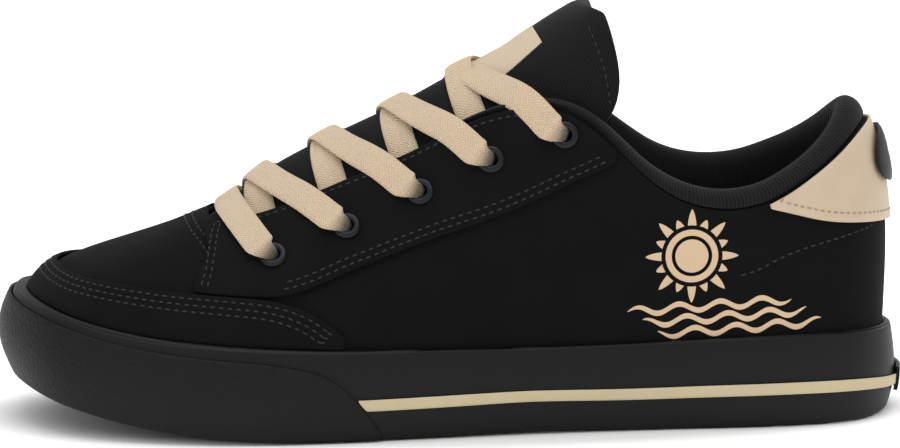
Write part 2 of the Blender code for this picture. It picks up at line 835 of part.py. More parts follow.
def build_eyelets(made, upper, eyestays):
    base = GAP + OVERLAY
    profile = (
        (EYELET_OUTER, base + 0.4),
        (EYELET_INNER + 0.25, base + 1.3),
        (EYELET_INNER, -WALL + 0.2),
        (EYELET_INNER + 0.5, base + 0.4),
    )
    corners = []
    faces = []
    for inner in (False, True):
        for number in range(len(EYELETS) - 1):
            centre, way, k, v = eyelet_seat(number, inner)
            rings = turned(centre, way, profile, EYELET_SIDES)
            points = [p for ring in rings for p in ring]
            m = len(profile)
            ring_faces = []
            for i in range(EYELET_SIDES):
                j = (i + 1) % EYELET_SIDES
                for a in range(m):
                    b = (a + 1) % m
                    ring_faces.append((i * m + a, j * m + a, j * m + b, i * m + b))
            name = "eyelet_" + ("inner_" if inner else "outer_") + str(number + 1)
            mesh_object(name, points, ring_faces, made)
            hole = ((EYELET_HOLE, base + 6.0), (EYELET_HOLE, -WALL - 4.0))
            rod = turned(centre, way, hole, 8)
            start = len(corners)
            for ring in rod:
                corners.extend(ring)
            for i in range(8):
                j = (i + 1) % 8
                faces.append((start + 2 * i, start + 2 * j, start + 2 * j + 1, start + 2 * i + 1))
            faces.append(tuple(start + 2 * i for i in range(8)))
            faces.append(tuple(start + 2 * i + 1 for i in range(8))[::-1])
    cutter = mesh_object("eyelet_cutter", corners, faces, made, soft=False)
    for obj in [upper] + eyestays:
        cut(obj, cutter)


# Lace
def lace_path(knots, steps):
    """Points and ways out along a lace through knots, each a point and a way out."""
    keys = [0.0]
    for a, b in zip(knots, knots[1:]):
        keys.append(keys[-1] + float(np.linalg.norm(b[0] - a[0])))
    found = []
    for i in range(steps + 1):
        s = keys[-1] * i / steps
        point = np.array([smooth(keys, [k[0][c] for k in knots], s) for c in range(3)])
        way = unit(np.array([smooth(keys, [k[1][c] for k in knots], s) for c in range(3)]))
        found.append((point, way))
    return found


def lace_strip(knots, steps=12):
    """Rings of a flat lace along its path."""
    path = lace_path(knots, steps)
    rings = []
    for i, (point, way) in enumerate(path):
        a = path[max(i - 1, 0)][0]
        b = path[min(i + 1, steps)][0]
        side = unit(np.cross(unit(b - a), way))
        out = unit(np.cross(side, unit(b - a)))
        out = out if np.dot(out, way) > 0 else -out
        w = LACE_WIDTH / 2
        rings.append([
            point - side * w,
            point + side * w,
            point + side * (w - 0.6) + out * LACE_THICK,
            point - side * (w - 0.6) + out * LACE_THICK,
        ])
    return rings


def place_on_tongue(k):
    """The tongue's place that lies between the two ends of column k."""
    places = np.array(column_of(TONGUE_UNDER, "place"))
    columns = np.array(column_of(TONGUE_UNDER, "column"))
    if k < columns[-1]:
        return float(places[-1] + (columns[-1] - k) * 0.09)
    return float(np.interp(-k, -columns, places))


def lace_over(number, inner, forward):
    """Knots of a lace from the throat edge down to just above an eyelet, on the eyestay.
    forward: how many columns nearer the toe it crosses the throat edge."""
    centre, way, k, v = eyelet_seat(number, inner)
    clear = GAP + OVERLAY + 1.2 + LACE_CLEAR
    turn = -forward if inner else forward
    top = upper_point(k + turn, 1.0, clear + 0.6), upper_way_out(k + turn, 1.0)
    share = (v + 1.0) / 2
    middle = upper_point(k + turn * 0.5, share, clear), upper_way_out(k + turn * 0.5, share)
    low = centre + way * clear, way
    return [top, middle, low]


def build_lace_bar(made):
    column = EYELETS[1][0]
    lift = LACE_CLEAR + 1.3
    middle = []
    for a, forward in ((-0.30, 1.0), (0.0, 1.5), (0.30, 1.0)):
        q = place_on_tongue(column + forward * LACE_FORWARD)
        middle.append((tongue_point(a, q, lift), tongue_way_out(a, q)))
    knots = lace_over(0, False, 0.95)[::-1] + middle + lace_over(0, True, 0.95)
    return ring_solid("lace_bar_1", lace_strip(knots, 16), made)


def build_lace_cross(number, made, top_outer_over=False):
    """Two laces that cross on the tongue between one pair of eyelets and the next, joined where they meet."""
    column, following = EYELETS[number + 1][0], EYELETS[number + 2][0]
    q_start = place_on_tongue(column - 0.10)
    q_mid = place_on_tongue((column + following) / 2 + (1.2 if top_outer_over else 0.85) * LACE_FORWARD)
    q_land = place_on_tongue(following + 0.60)
    strips = []
    for side in (-1.0, 1.0):
        to_inner = side < 0
        over = to_inner == top_outer_over
        level = LACE_CLEAR + 0.45 + (LACE_THICK * 0.65 if over else 0.0)
        knots = []
        for a, q, lift in (
            (0.46 * side, q_start, LACE_CLEAR + 0.6),
            (0.24 * side, (q_start + q_mid) / 2, (LACE_CLEAR + 0.6 + level) / 2),
            (0.0, q_mid, level),
            (-0.24 * side, (q_mid + q_land) / 2, (LACE_CLEAR + 1.4 + level) / 2),
        ):
            knots.append((tongue_point(a, q, lift), tongue_way_out(a, q)))
        knots += lace_over(number + 1, to_inner, 0.55 + 0.1 * LACE_FORWARD)
        strips.append(lace_strip(knots, 13))
    name = "lace_cross_" + str(number + 1)
    obj = ring_solid(name, strips[0], made)
    other = ring_solid(name + "_second", strips[1], made)
    other.hide_render = True
    other.display_type = "WIRE"
    join = obj.modifiers.new("join", "BOOLEAN")
    join.operation = "UNION"
    join.solver = "EXACT"
    join.object = other
    return obj


def build_badge(made):
    """A plain raised oval on the back of the heel tab."""
    steps = 16
    lift = OVERLAY_GAP + OVERLAY + GAP + 0.15
    centre_v = 0.835
    points = []
    faces = []
    for level, size in ((0.0, 0.5), (0.0, 1.0), (0.6, 1.0), (1.0, 0.82), (1.0, 0.41)):
        for i in range(steps):
            a = 2 * math.pi * i / steps
            k = 1.05 * size * math.cos(a)
            v = centre_v + 0.120 * size * math.sin(a)
            points.append(upper_point(k % (2 * LAST_COLUMN), v, lift + BADGE_THICK * level))
    for ring in range(4):
        for i in range(steps):
            j = (i + 1) % steps
            faces.append((ring * steps + i, ring * steps + j, (ring + 1) * steps + j, (ring + 1) * steps + i))
    low = len(points)
    points.append(upper_point(0.0, centre_v, lift))
    points.append(upper_point(0.0, centre_v, lift + BADGE_THICK))
    for i in range(steps):
        j = (i + 1) % steps
        faces.append((i, j, low))
        faces.append((4 * steps + i, 4 * steps + j, low + 1))
    return mesh_object("heel_badge", points, faces, made)


def build_plate(made):
    """The block on the back of the sole."""
    t = 0.0
    while abs(outline_base(t)[1]) < PLATE_WIDTH / 2:
        t += 0.001
    table = (("along", "low", "high"), (0.0, 0.235, 0.515), (1.0, 0.235, 0.515))
    return on_sole("heel_plate", table, PLATE_THICK, made, spread((-t, t, 6)), 3)


def main():
    for obj in list(bpy.data.objects):
        bpy.data.objects.remove(obj, do_unlink=True)

    rubber = material("sole_rubber", "2a2a2b", 0.62)
    bumper_rubber = material("toe_rubber", "2f2f30", 0.70)
    cream_rubber = material("stripe_rubber", "d0ba8c", 0.60)
    suede = material("black_suede", "18181a", 0.92)
    suede_over = material("black_suede_overlay", "1a1a1c", 0.90)
    textile = material("black_textile", "161617", 0.88)
    tongue_cloth = material("tongue_textile", "1a1a1b", 0.90)
    cream_leather = material("cream_leather", "d2ba98", 0.55)
    label_cloth = material("cream_label", "d9c6a4", 0.80)
    badge = material("badge_rubber", "1d1d1e", 0.50)
    foam = material("insole_foam", "1b1b1c", 0.90)
    metal = material("dark_metal", "55565a", 0.38, 1.0)
    cord = material("cream_lace", "e2cdac", 0.85)

    build_cup_sole(rubber)
    upper = build_upper(suede)
    build_tongue(tongue_cloth)
    build_insole(foam)

    rear, risen = BUMPER[1][0], BUMPER[5][0]
    around = spread((rear, risen, 6), (risen, 2 - risen, 30), (2 - risen, 2 - rear, 6))
    on_sole("toe_bumper", BUMPER, BUMPER_THICK, bumper_rubber, around, 4)
    start, slant, end = STRIPE[1][0], STRIPE[-2][0], STRIPE[-1][0]
    along = spread((start, slant, 18), (slant, end, 1))
    on_sole("stripe_outer", STRIPE, STRIPE_THICK, cream_rubber, along, 1)
    on_sole("stripe_inner", STRIPE, STRIPE_THICK, cream_rubber, [2 - p for p in along], 1)
    build_plate(rubber)

    cap_start = TOE_CAP[1][0]
    cap_columns = spread((cap_start, 2 * LAST_COLUMN - cap_start, 28))
    on_upper("toe_cap", TOE_CAP, suede_over, cap_columns, 3)
    front, notch, tip = EYESTAY[-4][0], EYESTAY[-3][0], EYESTAY[-1][0]
    stay_columns = spread((EYESTAY[1][0], front, 19), (front, notch, 1), (notch, tip, 3))
    outer_stay = on_upper("eyestay_outer", EYESTAY, suede_over, stay_columns, 4)
    inner_columns = [2 * LAST_COLUMN - k for k in stay_columns]
    inner_stay = on_upper("eyestay_inner", EYESTAY, suede_over, inner_columns, 4)
    build_collar(textile)
    build_heel_tab(cream_leather)
    build_badge(badge)
    build_label(label_cloth)
    build_eyelets(metal, upper, [outer_stay, inner_stay])
    build_lace_bar(cord)
    for number in range(4):
        build_lace_cross(number, cord, top_outer_over=number == 3)


def build_heel_tab(made):
    face = []
    back = []
    count = 16
    rows = 3
    for i in range(count + 1):
        k = -4.0 + 8.0 * i / count
        low = read(HEEL_TAB, "column", "low", k)
        high = read(HEEL_TAB, "column", "high", k)
        turn = k % (2 * LAST_COLUMN)
        steps = [low + (high - low) * r / rows for r in range(rows + 1)]
        face.append([upper_point(turn, v, OVERLAY_GAP + OVERLAY) for v in steps])
        back.append([upper_point(turn, v, OVERLAY_GAP) for v in steps])
    return grid_solid("heel_tab", face, back, made)


main()
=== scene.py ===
# %% [markdown]
# A low skateboarding shoe for the left foot: black nubuck on a cupped rubber sole, with
# cream laces, heel tab and tongue label. The solids from model.glb come in first and fix
# every place. This file gives them softer skins, seams, stitches and real materials.

# %% Load the solids
import math

import bpy
from mathutils import Matrix, Vector
from mathutils.bvhtree import BVHTree


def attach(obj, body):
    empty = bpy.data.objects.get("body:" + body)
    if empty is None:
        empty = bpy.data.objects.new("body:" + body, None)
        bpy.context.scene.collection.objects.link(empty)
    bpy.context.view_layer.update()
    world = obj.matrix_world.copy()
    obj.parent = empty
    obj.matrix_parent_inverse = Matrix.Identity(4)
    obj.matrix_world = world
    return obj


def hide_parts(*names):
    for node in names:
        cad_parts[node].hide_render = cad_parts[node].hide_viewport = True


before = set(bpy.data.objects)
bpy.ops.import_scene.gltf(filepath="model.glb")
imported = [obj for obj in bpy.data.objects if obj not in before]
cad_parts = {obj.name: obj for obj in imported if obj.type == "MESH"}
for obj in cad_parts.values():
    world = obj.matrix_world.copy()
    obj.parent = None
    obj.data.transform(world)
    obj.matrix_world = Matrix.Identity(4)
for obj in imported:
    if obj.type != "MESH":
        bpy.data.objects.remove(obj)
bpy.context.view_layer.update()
print("solids loaded:", len(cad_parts))


# %% [markdown]
# The camera stands where the photographer stood: a little above the shoe, on its outer
# side, with a long lens that keeps the sole nearly straight. Its place comes first.

# %% Camera
CAMERA_TURN = math.radians(-4)
CAMERA_RISE = math.radians(9)
CAMERA_REACH = 1.2
LOOK_AT = Vector((-0.1146, 0.0, 0.062))
# In pixels of the photograph: its width, a millimetre at the shoe, and how far the view is moved up
PHOTO_WIDTH = 900
PIXELS_PER_MM = 3.03
VIEW_RISE = 0.72
SENSOR_WIDTH = 36.0
away = Vector((
    math.sin(CAMERA_TURN) * math.cos(CAMERA_RISE),
    -math.cos(CAMERA_TURN) * math.cos(CAMERA_RISE),
    math.sin(CAMERA_RISE),
))
bpy.ops.object.camera_add(location=LOOK_AT + away * CAMERA_REACH)
camera = bpy.context.object
camera.rotation_euler = away.to_track_quat("Z", "Y").to_euler()
camera.data.sensor_width = SENSOR_WIDTH
camera.data.lens = PIXELS_PER_MM * CAMERA_REACH * 1000 / PHOTO_WIDTH * SENSOR_WIDTH
camera.data.shift_y = VIEW_RISE / PHOTO_WIDTH
bpy.context.scene.camera = camera
print("camera at", [round(v, 3) for v in camera.location])


# %% [markdown]
# Every colour is picked as an sRGB hex value, the way paint charts give it, and turned
# linear once. One helper adds a shader node with its settings and links, so each
# material below reads as a short recipe.

# %% Colour and node helpers
def linear(hex_colour):
    """An sRGB hex colour as linear red, green, blue and alpha."""
    parts = [int(hex_colour[i : i + 2], 16) / 255 for i in (0, 2, 4)]
    return [p / 12.92 if p <= 0.04045 else ((p + 0.055) / 1.055) ** 2.4 for p in parts] + [1.0]


def add_node(tree, kind, inputs=None, **settings):
    """Adds a node. inputs maps a socket to a value, or to another node's output."""
    made = tree.nodes.new(kind)
    for key, value in settings.items():
        setattr(made, key, value)
    for key, value in (inputs or {}).items():
        if isinstance(value, bpy.types.NodeSocket):
            tree.links.new(value, made.inputs[key])
        else:
            made.inputs[key].default_value = value
    return made


def new_material(name, hex_colour, roughness, **sockets):
    """A material with its main shader set. Returns the material, its tree and its shader."""
    made = bpy.data.materials.new(name)
    made.use_nodes = True
    tree = made.node_tree
    shader = tree.nodes["Principled BSDF"]
    shader.inputs["Base Color"].default_value = linear(hex_colour)
    shader.inputs["Roughness"].default_value = roughness
    for socket, value in sockets.items():
        shader.inputs[socket.replace("_", " ")].default_value = value
    return made, tree, shader


def two_tones(tree, shader, factor, low, high):
    """Blends two colours by a factor, gives the result to the shader and returns it."""
    blend = add_node(tree, "ShaderNodeMix", {"Factor": factor}, data_type="RGBA")
    blend.inputs["A"].default_value = linear(low)
    blend.inputs["B"].default_value = linear(high)
    tree.links.new(blend.outputs["Result"], shader.inputs["Base Color"])
    return blend.outputs["Result"]


def raise_by(tree, shader, height, depth, strength, under=None):
    """Turns a height between 0 and 1 into bumps that are depth metres high."""
    inputs = {"Height": height, "Distance": depth, "Strength": strength}
    if under is not None:
        inputs["Normal"] = under
    bump = add_node(tree, "ShaderNodeBump", inputs)
    tree.links.new(bump.outputs["Normal"], shader.inputs["Normal"])
    return bump.outputs["Normal"]


# %% [markdown]
# Nubuck is the hide's outer face sanded to a short nap. It scatters light, so it looks
# deep black with a soft grey bloom at grazing angles, and brushed patches are a shade
# lighter. Sheen gives the bloom, a slow noise the brushed patches, a fine one the nap.

# %% Nubuck
def make_nubuck(name, low, high):
    made, tree, shader = new_material(
        name, low, 0.86, Sheen_Weight=0.01, Sheen_Roughness=0.5, Specular_IOR_Level=0.08
    )
    place = add_node(tree, "ShaderNodeTexCoord").outputs["Object"]
    # Brushed patches about 15 mm across
    patches = add_node(tree, "ShaderNodeTexNoise", {"Vector": place, "Scale": 65.0, "Detail": 4.0})
    two_tones(tree, shader, patches.outputs["Fac"], low, high)
    # Nap: real fibres are 0.1 mm apart, drawn 0.35 mm apart so that they show
    nap = add_node(tree, "ShaderNodeTexNoise", {"Vector": place, "Scale": 2600.0, "Detail": 2.0})
    raise_by(tree, shader, nap.outputs["Fac"], 0.00022, 0.55)
    return made


nubuck = make_nubuck("sanded nubuck, black", "0a0a0b", "111112")
nubuck_overlay = make_nubuck("sanded nubuck overlay, black", "0a0a0b", "121213")


# %% [markdown]
# The sole is vulcanised rubber, pressed in a steel mould. It is a grey black with a
# dull sheen, and its upper edge catches the light. The toe bumper has a fine pebble
# cut into its mould, which holds tape and grip dust.

# %% Rubber
def make_rubber(name, low, high, roughness, pebble):
    made, tree, shader = new_material(name, low, roughness, Specular_IOR_Level=0.20)
    place = add_node(tree, "ShaderNodeTexCoord").outputs["Object"]
    cloud = add_node(tree, "ShaderNodeTexNoise", {"Vector": place, "Scale": 90.0, "Detail": 5.0})
    two_tones(tree, shader, cloud.outputs["Fac"], low, high)
    skin = add_node(tree, "ShaderNodeTexNoise", {"Vector": place, "Scale": 1500.0, "Detail": 3.0})
    normal = raise_by(tree, shader, skin.outputs["Fac"], 0.00008, 0.5)
    if pebble:
        # Pebbles 0.8 mm across
        cells = add_node(
            tree, "ShaderNodeTexVoronoi", {"Vector": place, "Scale": 1250.0}, feature="SMOOTH_F1"
        )
        raise_by(tree, shader, cells.outputs["Distance"], 0.0003, 0.8, normal)
    return made


sole_rubber = make_rubber("vulcanised rubber, charcoal", "0c0c0d", "111112", 0.50, False)
bumper_rubber = make_rubber("vulcanised rubber, pebbled", "09090a", "0e0e0f", 0.55, True)
stripe_rubber = make_rubber("vulcanised rubber, cream", "bbac8a", "c5b697", 0.55, False)
badge_rubber = make_rubber("moulded rubber, black", "09090a", "0e0e0f", 0.50, False)


# %% [markdown]
# The collar and tongue are faced with a ribbed polyester knit over foam. The ribs run
# up and down and are less than a millimetre apart, so they are drawn as a wave that
# bends with a little noise, and the cloth gets a soft sheen.

# %% Knitted lining and tongue cloth
def make_ribbed_cloth(name, low, high, pitch, turn=None):
    """pitch: metres between ribs; turn: angles that lay them along it, or None for its own map."""
    made, tree, shader = new_material(
        name, low, 0.9, Sheen_Weight=0.06, Sheen_Roughness=0.5, Specular_IOR_Level=0.12
    )
    place = add_node(tree, "ShaderNodeTexCoord").outputs["Object"]
    if turn is None:
        laid = add_node(tree, "ShaderNodeUVMap", uv_map="knit").outputs["UV"]
    else:
        laid = add_node(tree, "ShaderNodeMapping", {"Vector": place, "Rotation": turn}).outputs["Vector"]
    # A wave texture has about 20 / (2 pi) bands to the unit at scale 1
    ribs = add_node(
        tree,
        "ShaderNodeTexWave",
        {"Vector": laid, "Scale": 0.314 / pitch, "Distortion": 0.6, "Detail": 1.0},
        bands_direction="X",
    )
    two_tones(tree, shader, ribs.outputs["Fac"], low, high)
    normal = raise_by(tree, shader, ribs.outputs["Fac"], 0.00022, 0.6)
    fuzz = add_node(tree, "ShaderNodeTexNoise", {"Vector": place, "Scale": 1900.0, "Detail": 2.0})
    raise_by(tree, shader, fuzz.outputs["Fac"], 0.00012, 0.5, normal)
    return made


lining_knit = make_ribbed_cloth("ribbed polyester knit, black", "0f0f10", "1d1d1f", 0.0012)
tongue_knit = make_ribbed_cloth(
    "ribbed polyester canvas, black", "0e0e0f", "1b1b1d", 0.0010, (0, math.radians(24), 0)
)
footbed_cloth = make_ribbed_cloth("foot bed cloth, black", "0e0e0f", "151516", 0.0014, (0, 0, 0))


# %% [markdown]
# The heel tab is smooth cream leather with a fine closed grain and a satin finish. The
# label on the tongue is a flat woven ribbon. The eyelets are brass rings dipped in a
# dark grey lacquer, so only their rims shine.

# %% Leather, ribbon, metal, thread and print
def make_cream_leather(low, high):
    made, tree, shader = new_material("smooth leather, cream", low, 0.48)
    place = add_node(tree, "ShaderNodeTexCoord").outputs["Object"]
    cloud = add_node(tree, "ShaderNodeTexNoise", {"Vector": place, "Scale": 120.0, "Detail": 4.0})
    two_tones(tree, shader, cloud.outputs["Fac"], low, high)
    grain = add_node(tree, "ShaderNodeTexVoronoi", {"Vector": place, "Scale": 1400.0})
    raise_by(tree, shader, grain.outputs["Distance"], 0.00012, 0.5)
    return made


def make_ribbon(low, high):
    made, tree, shader = new_material("woven ribbon, cream", low, 0.75)
    place = add_node(tree, "ShaderNodeTexCoord").outputs["Object"]
    warp = add_node(tree, "ShaderNodeTexWave", {"Vector": place, "Scale": 520.0}, bands_direction="Y")
    weft = add_node(tree, "ShaderNodeTexWave", {"Vector": place, "Scale": 520.0}, bands_direction="X")
    weave = add_node(
        tree, "ShaderNodeMath", {0: warp.outputs["Fac"], 1: weft.outputs["Fac"]}, operation="MULTIPLY"
    )
    two_tones(tree, shader, weave.outputs["Value"], low, high)
    raise_by(tree, shader, weave.outputs["Value"], 0.00012, 0.6)
    return made


cream_leather = make_cream_leather("b8a48a", "c4b199")
cream_ribbon = make_ribbon("bdac92", "cebfab")
eyelet_metal, _, _ = new_material("lacquered brass, dark grey", "2d2e32", 0.40, Metallic=1.0)
black_thread, _, _ = new_material("bonded nylon thread, black", "0a0a0b", 0.6)
cream_thread, _, _ = new_material("bonded nylon thread, cream", "9a8468", 0.6)
print_ink, _, _ = new_material("screen printing ink, tan", "c9ad8c", 0.6)


# %% [markdown]
# A flat lace is a cotton tube woven on a narrow loom and pressed flat. Its yarns cross
# in a herringbone of small slanted stitches. The pattern follows the lace through its
# own map: across in U, and along in V, both in metres.

# %% Cotton lace
def make_lace_cotton(low, high, hole_shade_colour):
    made, tree, shader = new_material(
        "woven cotton lace, cream", low, 0.85, Sheen_Weight=0.25, Specular_IOR_Level=0.2
    )
    laid = add_node(tree, "ShaderNodeUVMap", uv_map="lace").outputs["UV"]
    parts = add_node(tree, "ShaderNodeSeparateXYZ", {"Vector": laid})
    # Five columns of slanted yarns over 9 mm, and a yarn every 1.1 mm along
    column = add_node(
        tree, "ShaderNodeMath", {0: parts.outputs["X"], 1: 0.0018}, operation="PINGPONG"
    )
    slanted = add_node(
        tree, "ShaderNodeMath", {0: column.outputs["Value"], 1: 0.9, 2: parts.outputs["Y"]},
        operation="MULTIPLY_ADD",
    )
    turns = add_node(
        tree, "ShaderNodeMath", {0: slanted.outputs["Value"], 1: 2 * math.pi / 0.0011},
        operation="MULTIPLY",
    )
    yarn = add_node(tree, "ShaderNodeMath", {0: turns.outputs["Value"]}, operation="SINE")
    height = add_node(
        tree, "ShaderNodeMath", {0: yarn.outputs["Value"], 1: 0.5, 2: 0.5}, operation="MULTIPLY_ADD"
    )
    weave = two_tones(tree, shader, height.outputs["Value"], low, high)
    # Painted shade: darker towards the end, where the lace dives into its eyelet's hole
    painted_shade = add_node(tree, "ShaderNodeAttribute", attribute_name="painted_hole_shade")
    shade = add_node(
        tree, "ShaderNodeMix", {"Factor": painted_shade.outputs["Fac"], "A": weave}, data_type="RGBA"
    )
    shade.inputs["B"].default_value = linear(hole_shade_colour)
    tree.links.new(shade.outputs["Result"], shader.inputs["Base Color"])
    normal = raise_by(tree, shader, height.outputs["Value"], 0.00028, 0.9)
    place = add_node(tree, "ShaderNodeTexCoord").outputs["Object"]
    fuzz = add_node(tree, "ShaderNodeTexNoise", {"Vector": place, "Scale": 2400.0, "Detail": 2.0})
    raise_by(tree, shader, fuzz.outputs["Fac"], 0.00015, 0.6, normal)
    return made


# The third colour is the painted shade where the lace goes into a hole
lace_cotton = make_lace_cotton("c5ad8f", "d4bfa3", "2e261c")
print("materials:", len(bpy.data.materials))


# %% [markdown]
# The solids are plain and faceted. Each soft skin starts as a copy of its solid: the
# doubles are merged, triangles become quads, sharp edges get a crease, and a
# subdivision rounds what lies between. A lower crease gives a softer edge.

# %% Skins from the solids
def pick(obj):
    """Makes obj the only selected object, in object mode."""
    if bpy.context.mode != "OBJECT":
        bpy.ops.object.mode_set(mode="OBJECT")
    bpy.ops.object.select_all(action="DESELECT")
    obj.select_set(True)
    bpy.context.view_layer.objects.active = obj


def merged_copy(node, name):
    """A copy of a solid with its loose triangles merged, in quads where they fit."""
    obj = bpy.data.objects.new(name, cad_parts[node].data.copy())
    bpy.context.scene.collection.objects.link(obj)
    pick(obj)
    bpy.ops.object.mode_set(mode="EDIT")
    bpy.ops.mesh.select_all(action="SELECT")
    bpy.ops.mesh.remove_doubles(threshold=0.00001)
    bpy.ops.mesh.tris_convert_to_quads(
        face_threshold=math.radians(35), shape_threshold=math.radians(70)
    )
    bpy.ops.object.mode_set(mode="OBJECT")
    return obj


def finish_piece(obj, made, node=None):
    """Gives a piece its material, smooth shading and its place on the shoe."""
    obj.data.materials.clear()
    obj.data.materials.append(made)
    pick(obj)
    bpy.ops.object.shade_smooth_by_angle(angle=math.radians(38))
    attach(obj, "root")
    if node:
        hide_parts(node)
    return obj


def soften(obj, sharp, crease, levels):
    """Creases edges sharper than an angle, then rounds the piece by subdivision."""
    pick(obj)
    bpy.ops.object.mode_set(mode="EDIT")
    bpy.ops.mesh.select_mode(type="EDGE")
    bpy.ops.mesh.select_all(action="DESELECT")
    bpy.ops.mesh.edges_select_sharp(sharpness=math.radians(sharp))
    bpy.ops.transform.edge_crease(value=crease)
    bpy.ops.object.mode_set(mode="OBJECT")
    rounder = obj.modifiers.new("round", "SUBSURF")
    rounder.levels = levels
    rounder.render_levels = levels
    bpy.ops.object.modifier_apply(modifier=rounder.name)
    return obj


def skin(node, made, sharp=40, crease=0.6, levels=2):
    """A rounded skin in place of a solid."""
    obj = soften(merged_copy(node, node + "_skin"), sharp, crease, levels)
    return finish_piece(obj, made, node)


upper = skin("upper", nubuck, 50, 0.7)
sole = skin("cup_sole", sole_rubber, 30, 0.95)
skin("toe_bumper", bumper_rubber, 45, 0.6)
skin("heel_plate", sole_rubber, 45, 0.7)
skin("stripe_outer", stripe_rubber, 45, 0.7)
skin("stripe_inner", stripe_rubber, 45, 0.7)
toe_cap = skin("toe_cap", nubuck_overlay, 45, 0.45)
stays = [skin("eyestay_" + side, nubuck_overlay, 45, 0.45) for side in ("outer", "inner")]
heel_tab = skin("heel_tab", cream_leather, 45, 0.5)
skin("heel_badge", badge_rubber, 45, 0.3)
collar = skin("collar_padding", lining_knit, 60, 0.3)
tongue = skin("tongue", tongue_knit, 60, 0.25)
skin("insole", footbed_cloth, 45, 0.5)
print("skins made, upper faces:", len(upper.data.polygons))


# %% [markdown]
# The knit's ribs stand across the collar all the way round, so its material needs to
# know how far round the collar a point is. A map gives that: the collar's middle line is
# read in sectors around the ankle, and its running length becomes U.

# %% Map for the collar's ribs
COLLAR_MIDDLE = -0.040
COLLAR_SECTORS = 72
# The length that stands for a sector with no points in it
EMPTY_SECTOR = 0.002


def way_round(place, middle_x):
    """How far round an upright axis at middle_x a place is, from 0 to 1."""
    return math.atan2(place.y, place.x - middle_x) / (2 * math.pi) + 0.5


def sector_points(obj, middle_x, count):
    """The points of a piece, in one list for each sector round the axis."""
    heaps = [[] for _ in range(count)]
    for v in obj.data.vertices:
        heaps[int(way_round(v.co, middle_x) * count) % count].append(v.co.copy())
    return heaps


def map_round(obj, middle_x, count):
    """Adds the map "knit": U is the way round an ankle at middle_x, V the height, in metres."""
    heaps = sector_points(obj, middle_x, count)
    middles = [sum(heap, Vector()) / len(heap) if heap else None for heap in heaps]
    ways = [0.0]
    for p, q in zip(middles, middles[1:]):
        ways.append(ways[-1] + ((q - p).length if p and q else EMPTY_SECTOR))
    layer = obj.data.uv_layers.new(name="knit")
    for corner in obj.data.loops:
        place = obj.data.vertices[corner.vertex_index].co
        turn = way_round(place, middle_x) * count - 0.5
        i = min(max(int(turn), 0), count - 2)
        layer.data[corner.index].uv = (ways[i] + (ways[i + 1] - ways[i]) * (turn - i), place.z)
    print(obj.name, "length round in mm:", round(ways[-1] * 1000))


map_round(collar, COLLAR_MIDDLE, COLLAR_SECTORS)


# %% [markdown]
# Seams, stitches and laces have to lie on the skins. A search tree over the pieces says
# what a look in one direction meets first, and what lies nearest to a point. The instep
# leans, so two directions follow it: one along it and one straight out of it.

# %% Finding places on the skins
INSTEP_LEAN = math.radians(28)
UP = Vector((-math.sin(INSTEP_LEAN), 0.0, math.cos(INSTEP_LEAN)))
ALONG = Vector((math.cos(INSTEP_LEAN), 0.0, math.sin(INSTEP_LEAN)))
Z_UP = Vector((0.0, 0.0, 1.0))
# Each look starts this far out, clear of the whole shoe
FAR_OUT = 0.3


def surface(*objs):
    """One search tree over several pieces."""
    points = []
    faces = []
    for obj in objs:
        base = len(points)
        points += [v.co.copy() for v in obj.data.vertices]
        faces += [[base + i for i in f.vertices] for f in obj.data.polygons]
    return BVHTree.FromPolygons(points, faces)


def over_instep(along, across, height):
    """A place given along the instep, across it and straight out of it."""
    return ALONG * along + Vector((0.0, across, 0.0)) + UP * height


def look_down(tree, along, across):
    """What lies on the instep at (along, across), and its normal."""
    hit, normal, _, _ = tree.ray_cast(over_instep(along, across, FAR_OUT), -UP)
    return hit, normal


def evenly(path, pitch, first=0.0):
    """Places every pitch metres along a path of (place, direction) pairs, from first on."""
    found = []
    left = first
    for (a, way_a), (b, way_b) in zip(path, path[1:]):
        step = (b - a).length
        while left < step:
            found.append((a.lerp(b, left / step), way_a.lerp(way_b, left / step).normalized()))
            left += pitch
        left -= step
    return found


leather_tree = surface(upper)
_, _, _, distance = leather_tree.find_nearest(LOOK_AT)
print("from the middle of the shoe to the leather in mm:", round(distance * 1000, 1))


# %% [markdown]
# Seams, laces and the print follow a surface, so their points are worked out in rows
# and joined by quads. Helpers list the quads, make the mesh, say which way a row heads,
# and round its corners.

# %% Meshes from rows of points
def grid_faces(rows, columns, base=0, ring_of_rows=False, ring_of_columns=False):
    """Quads between rows of points. A ring also joins its last row or column to its first."""
    faces = []
    for i in range(rows if ring_of_rows else rows - 1):
        here = base + i * columns
        ahead = base + (i + 1) % rows * columns
        for k in range(columns if ring_of_columns else columns - 1):
            n = (k + 1) % columns
            faces.append((here + k, here + n, ahead + n, ahead + k))
    return faces


def from_points(name, points, faces):
    """A new piece made of points and faces."""
    mesh = bpy.data.meshes.new(name)
    mesh.from_pydata([tuple(p) for p in points], [], faces)
    obj = bpy.data.objects.new(name, mesh)
    bpy.context.scene.collection.objects.link(obj)
    return obj


def heading(row, i):
    """The direction of a row of places at one of them."""
    return (row[min(i + 1, len(row) - 1)] - row[max(i - 1, 0)]).normalized()


def eased(row, rounds):
    """A row of places with its corners rounded. Its two ends stay."""
    for _ in range(rounds):
        row = row[:1] + [(p + q * 2 + r) / 4 for p, q, r in zip(row, row[1:], row[2:])] + row[-1:]
    return row


print("quads between 3 rings of 16 points:", len(grid_faces(3, 16, ring_of_columns=True)))


# %% [markdown]
# The label is a folded ribbon sewn flat on the tongue, so it takes the tongue's curve.
# A grid is dropped onto the tongue, a little above it, and given a thickness. Its front
# end runs on under the top laces. It is left plain.

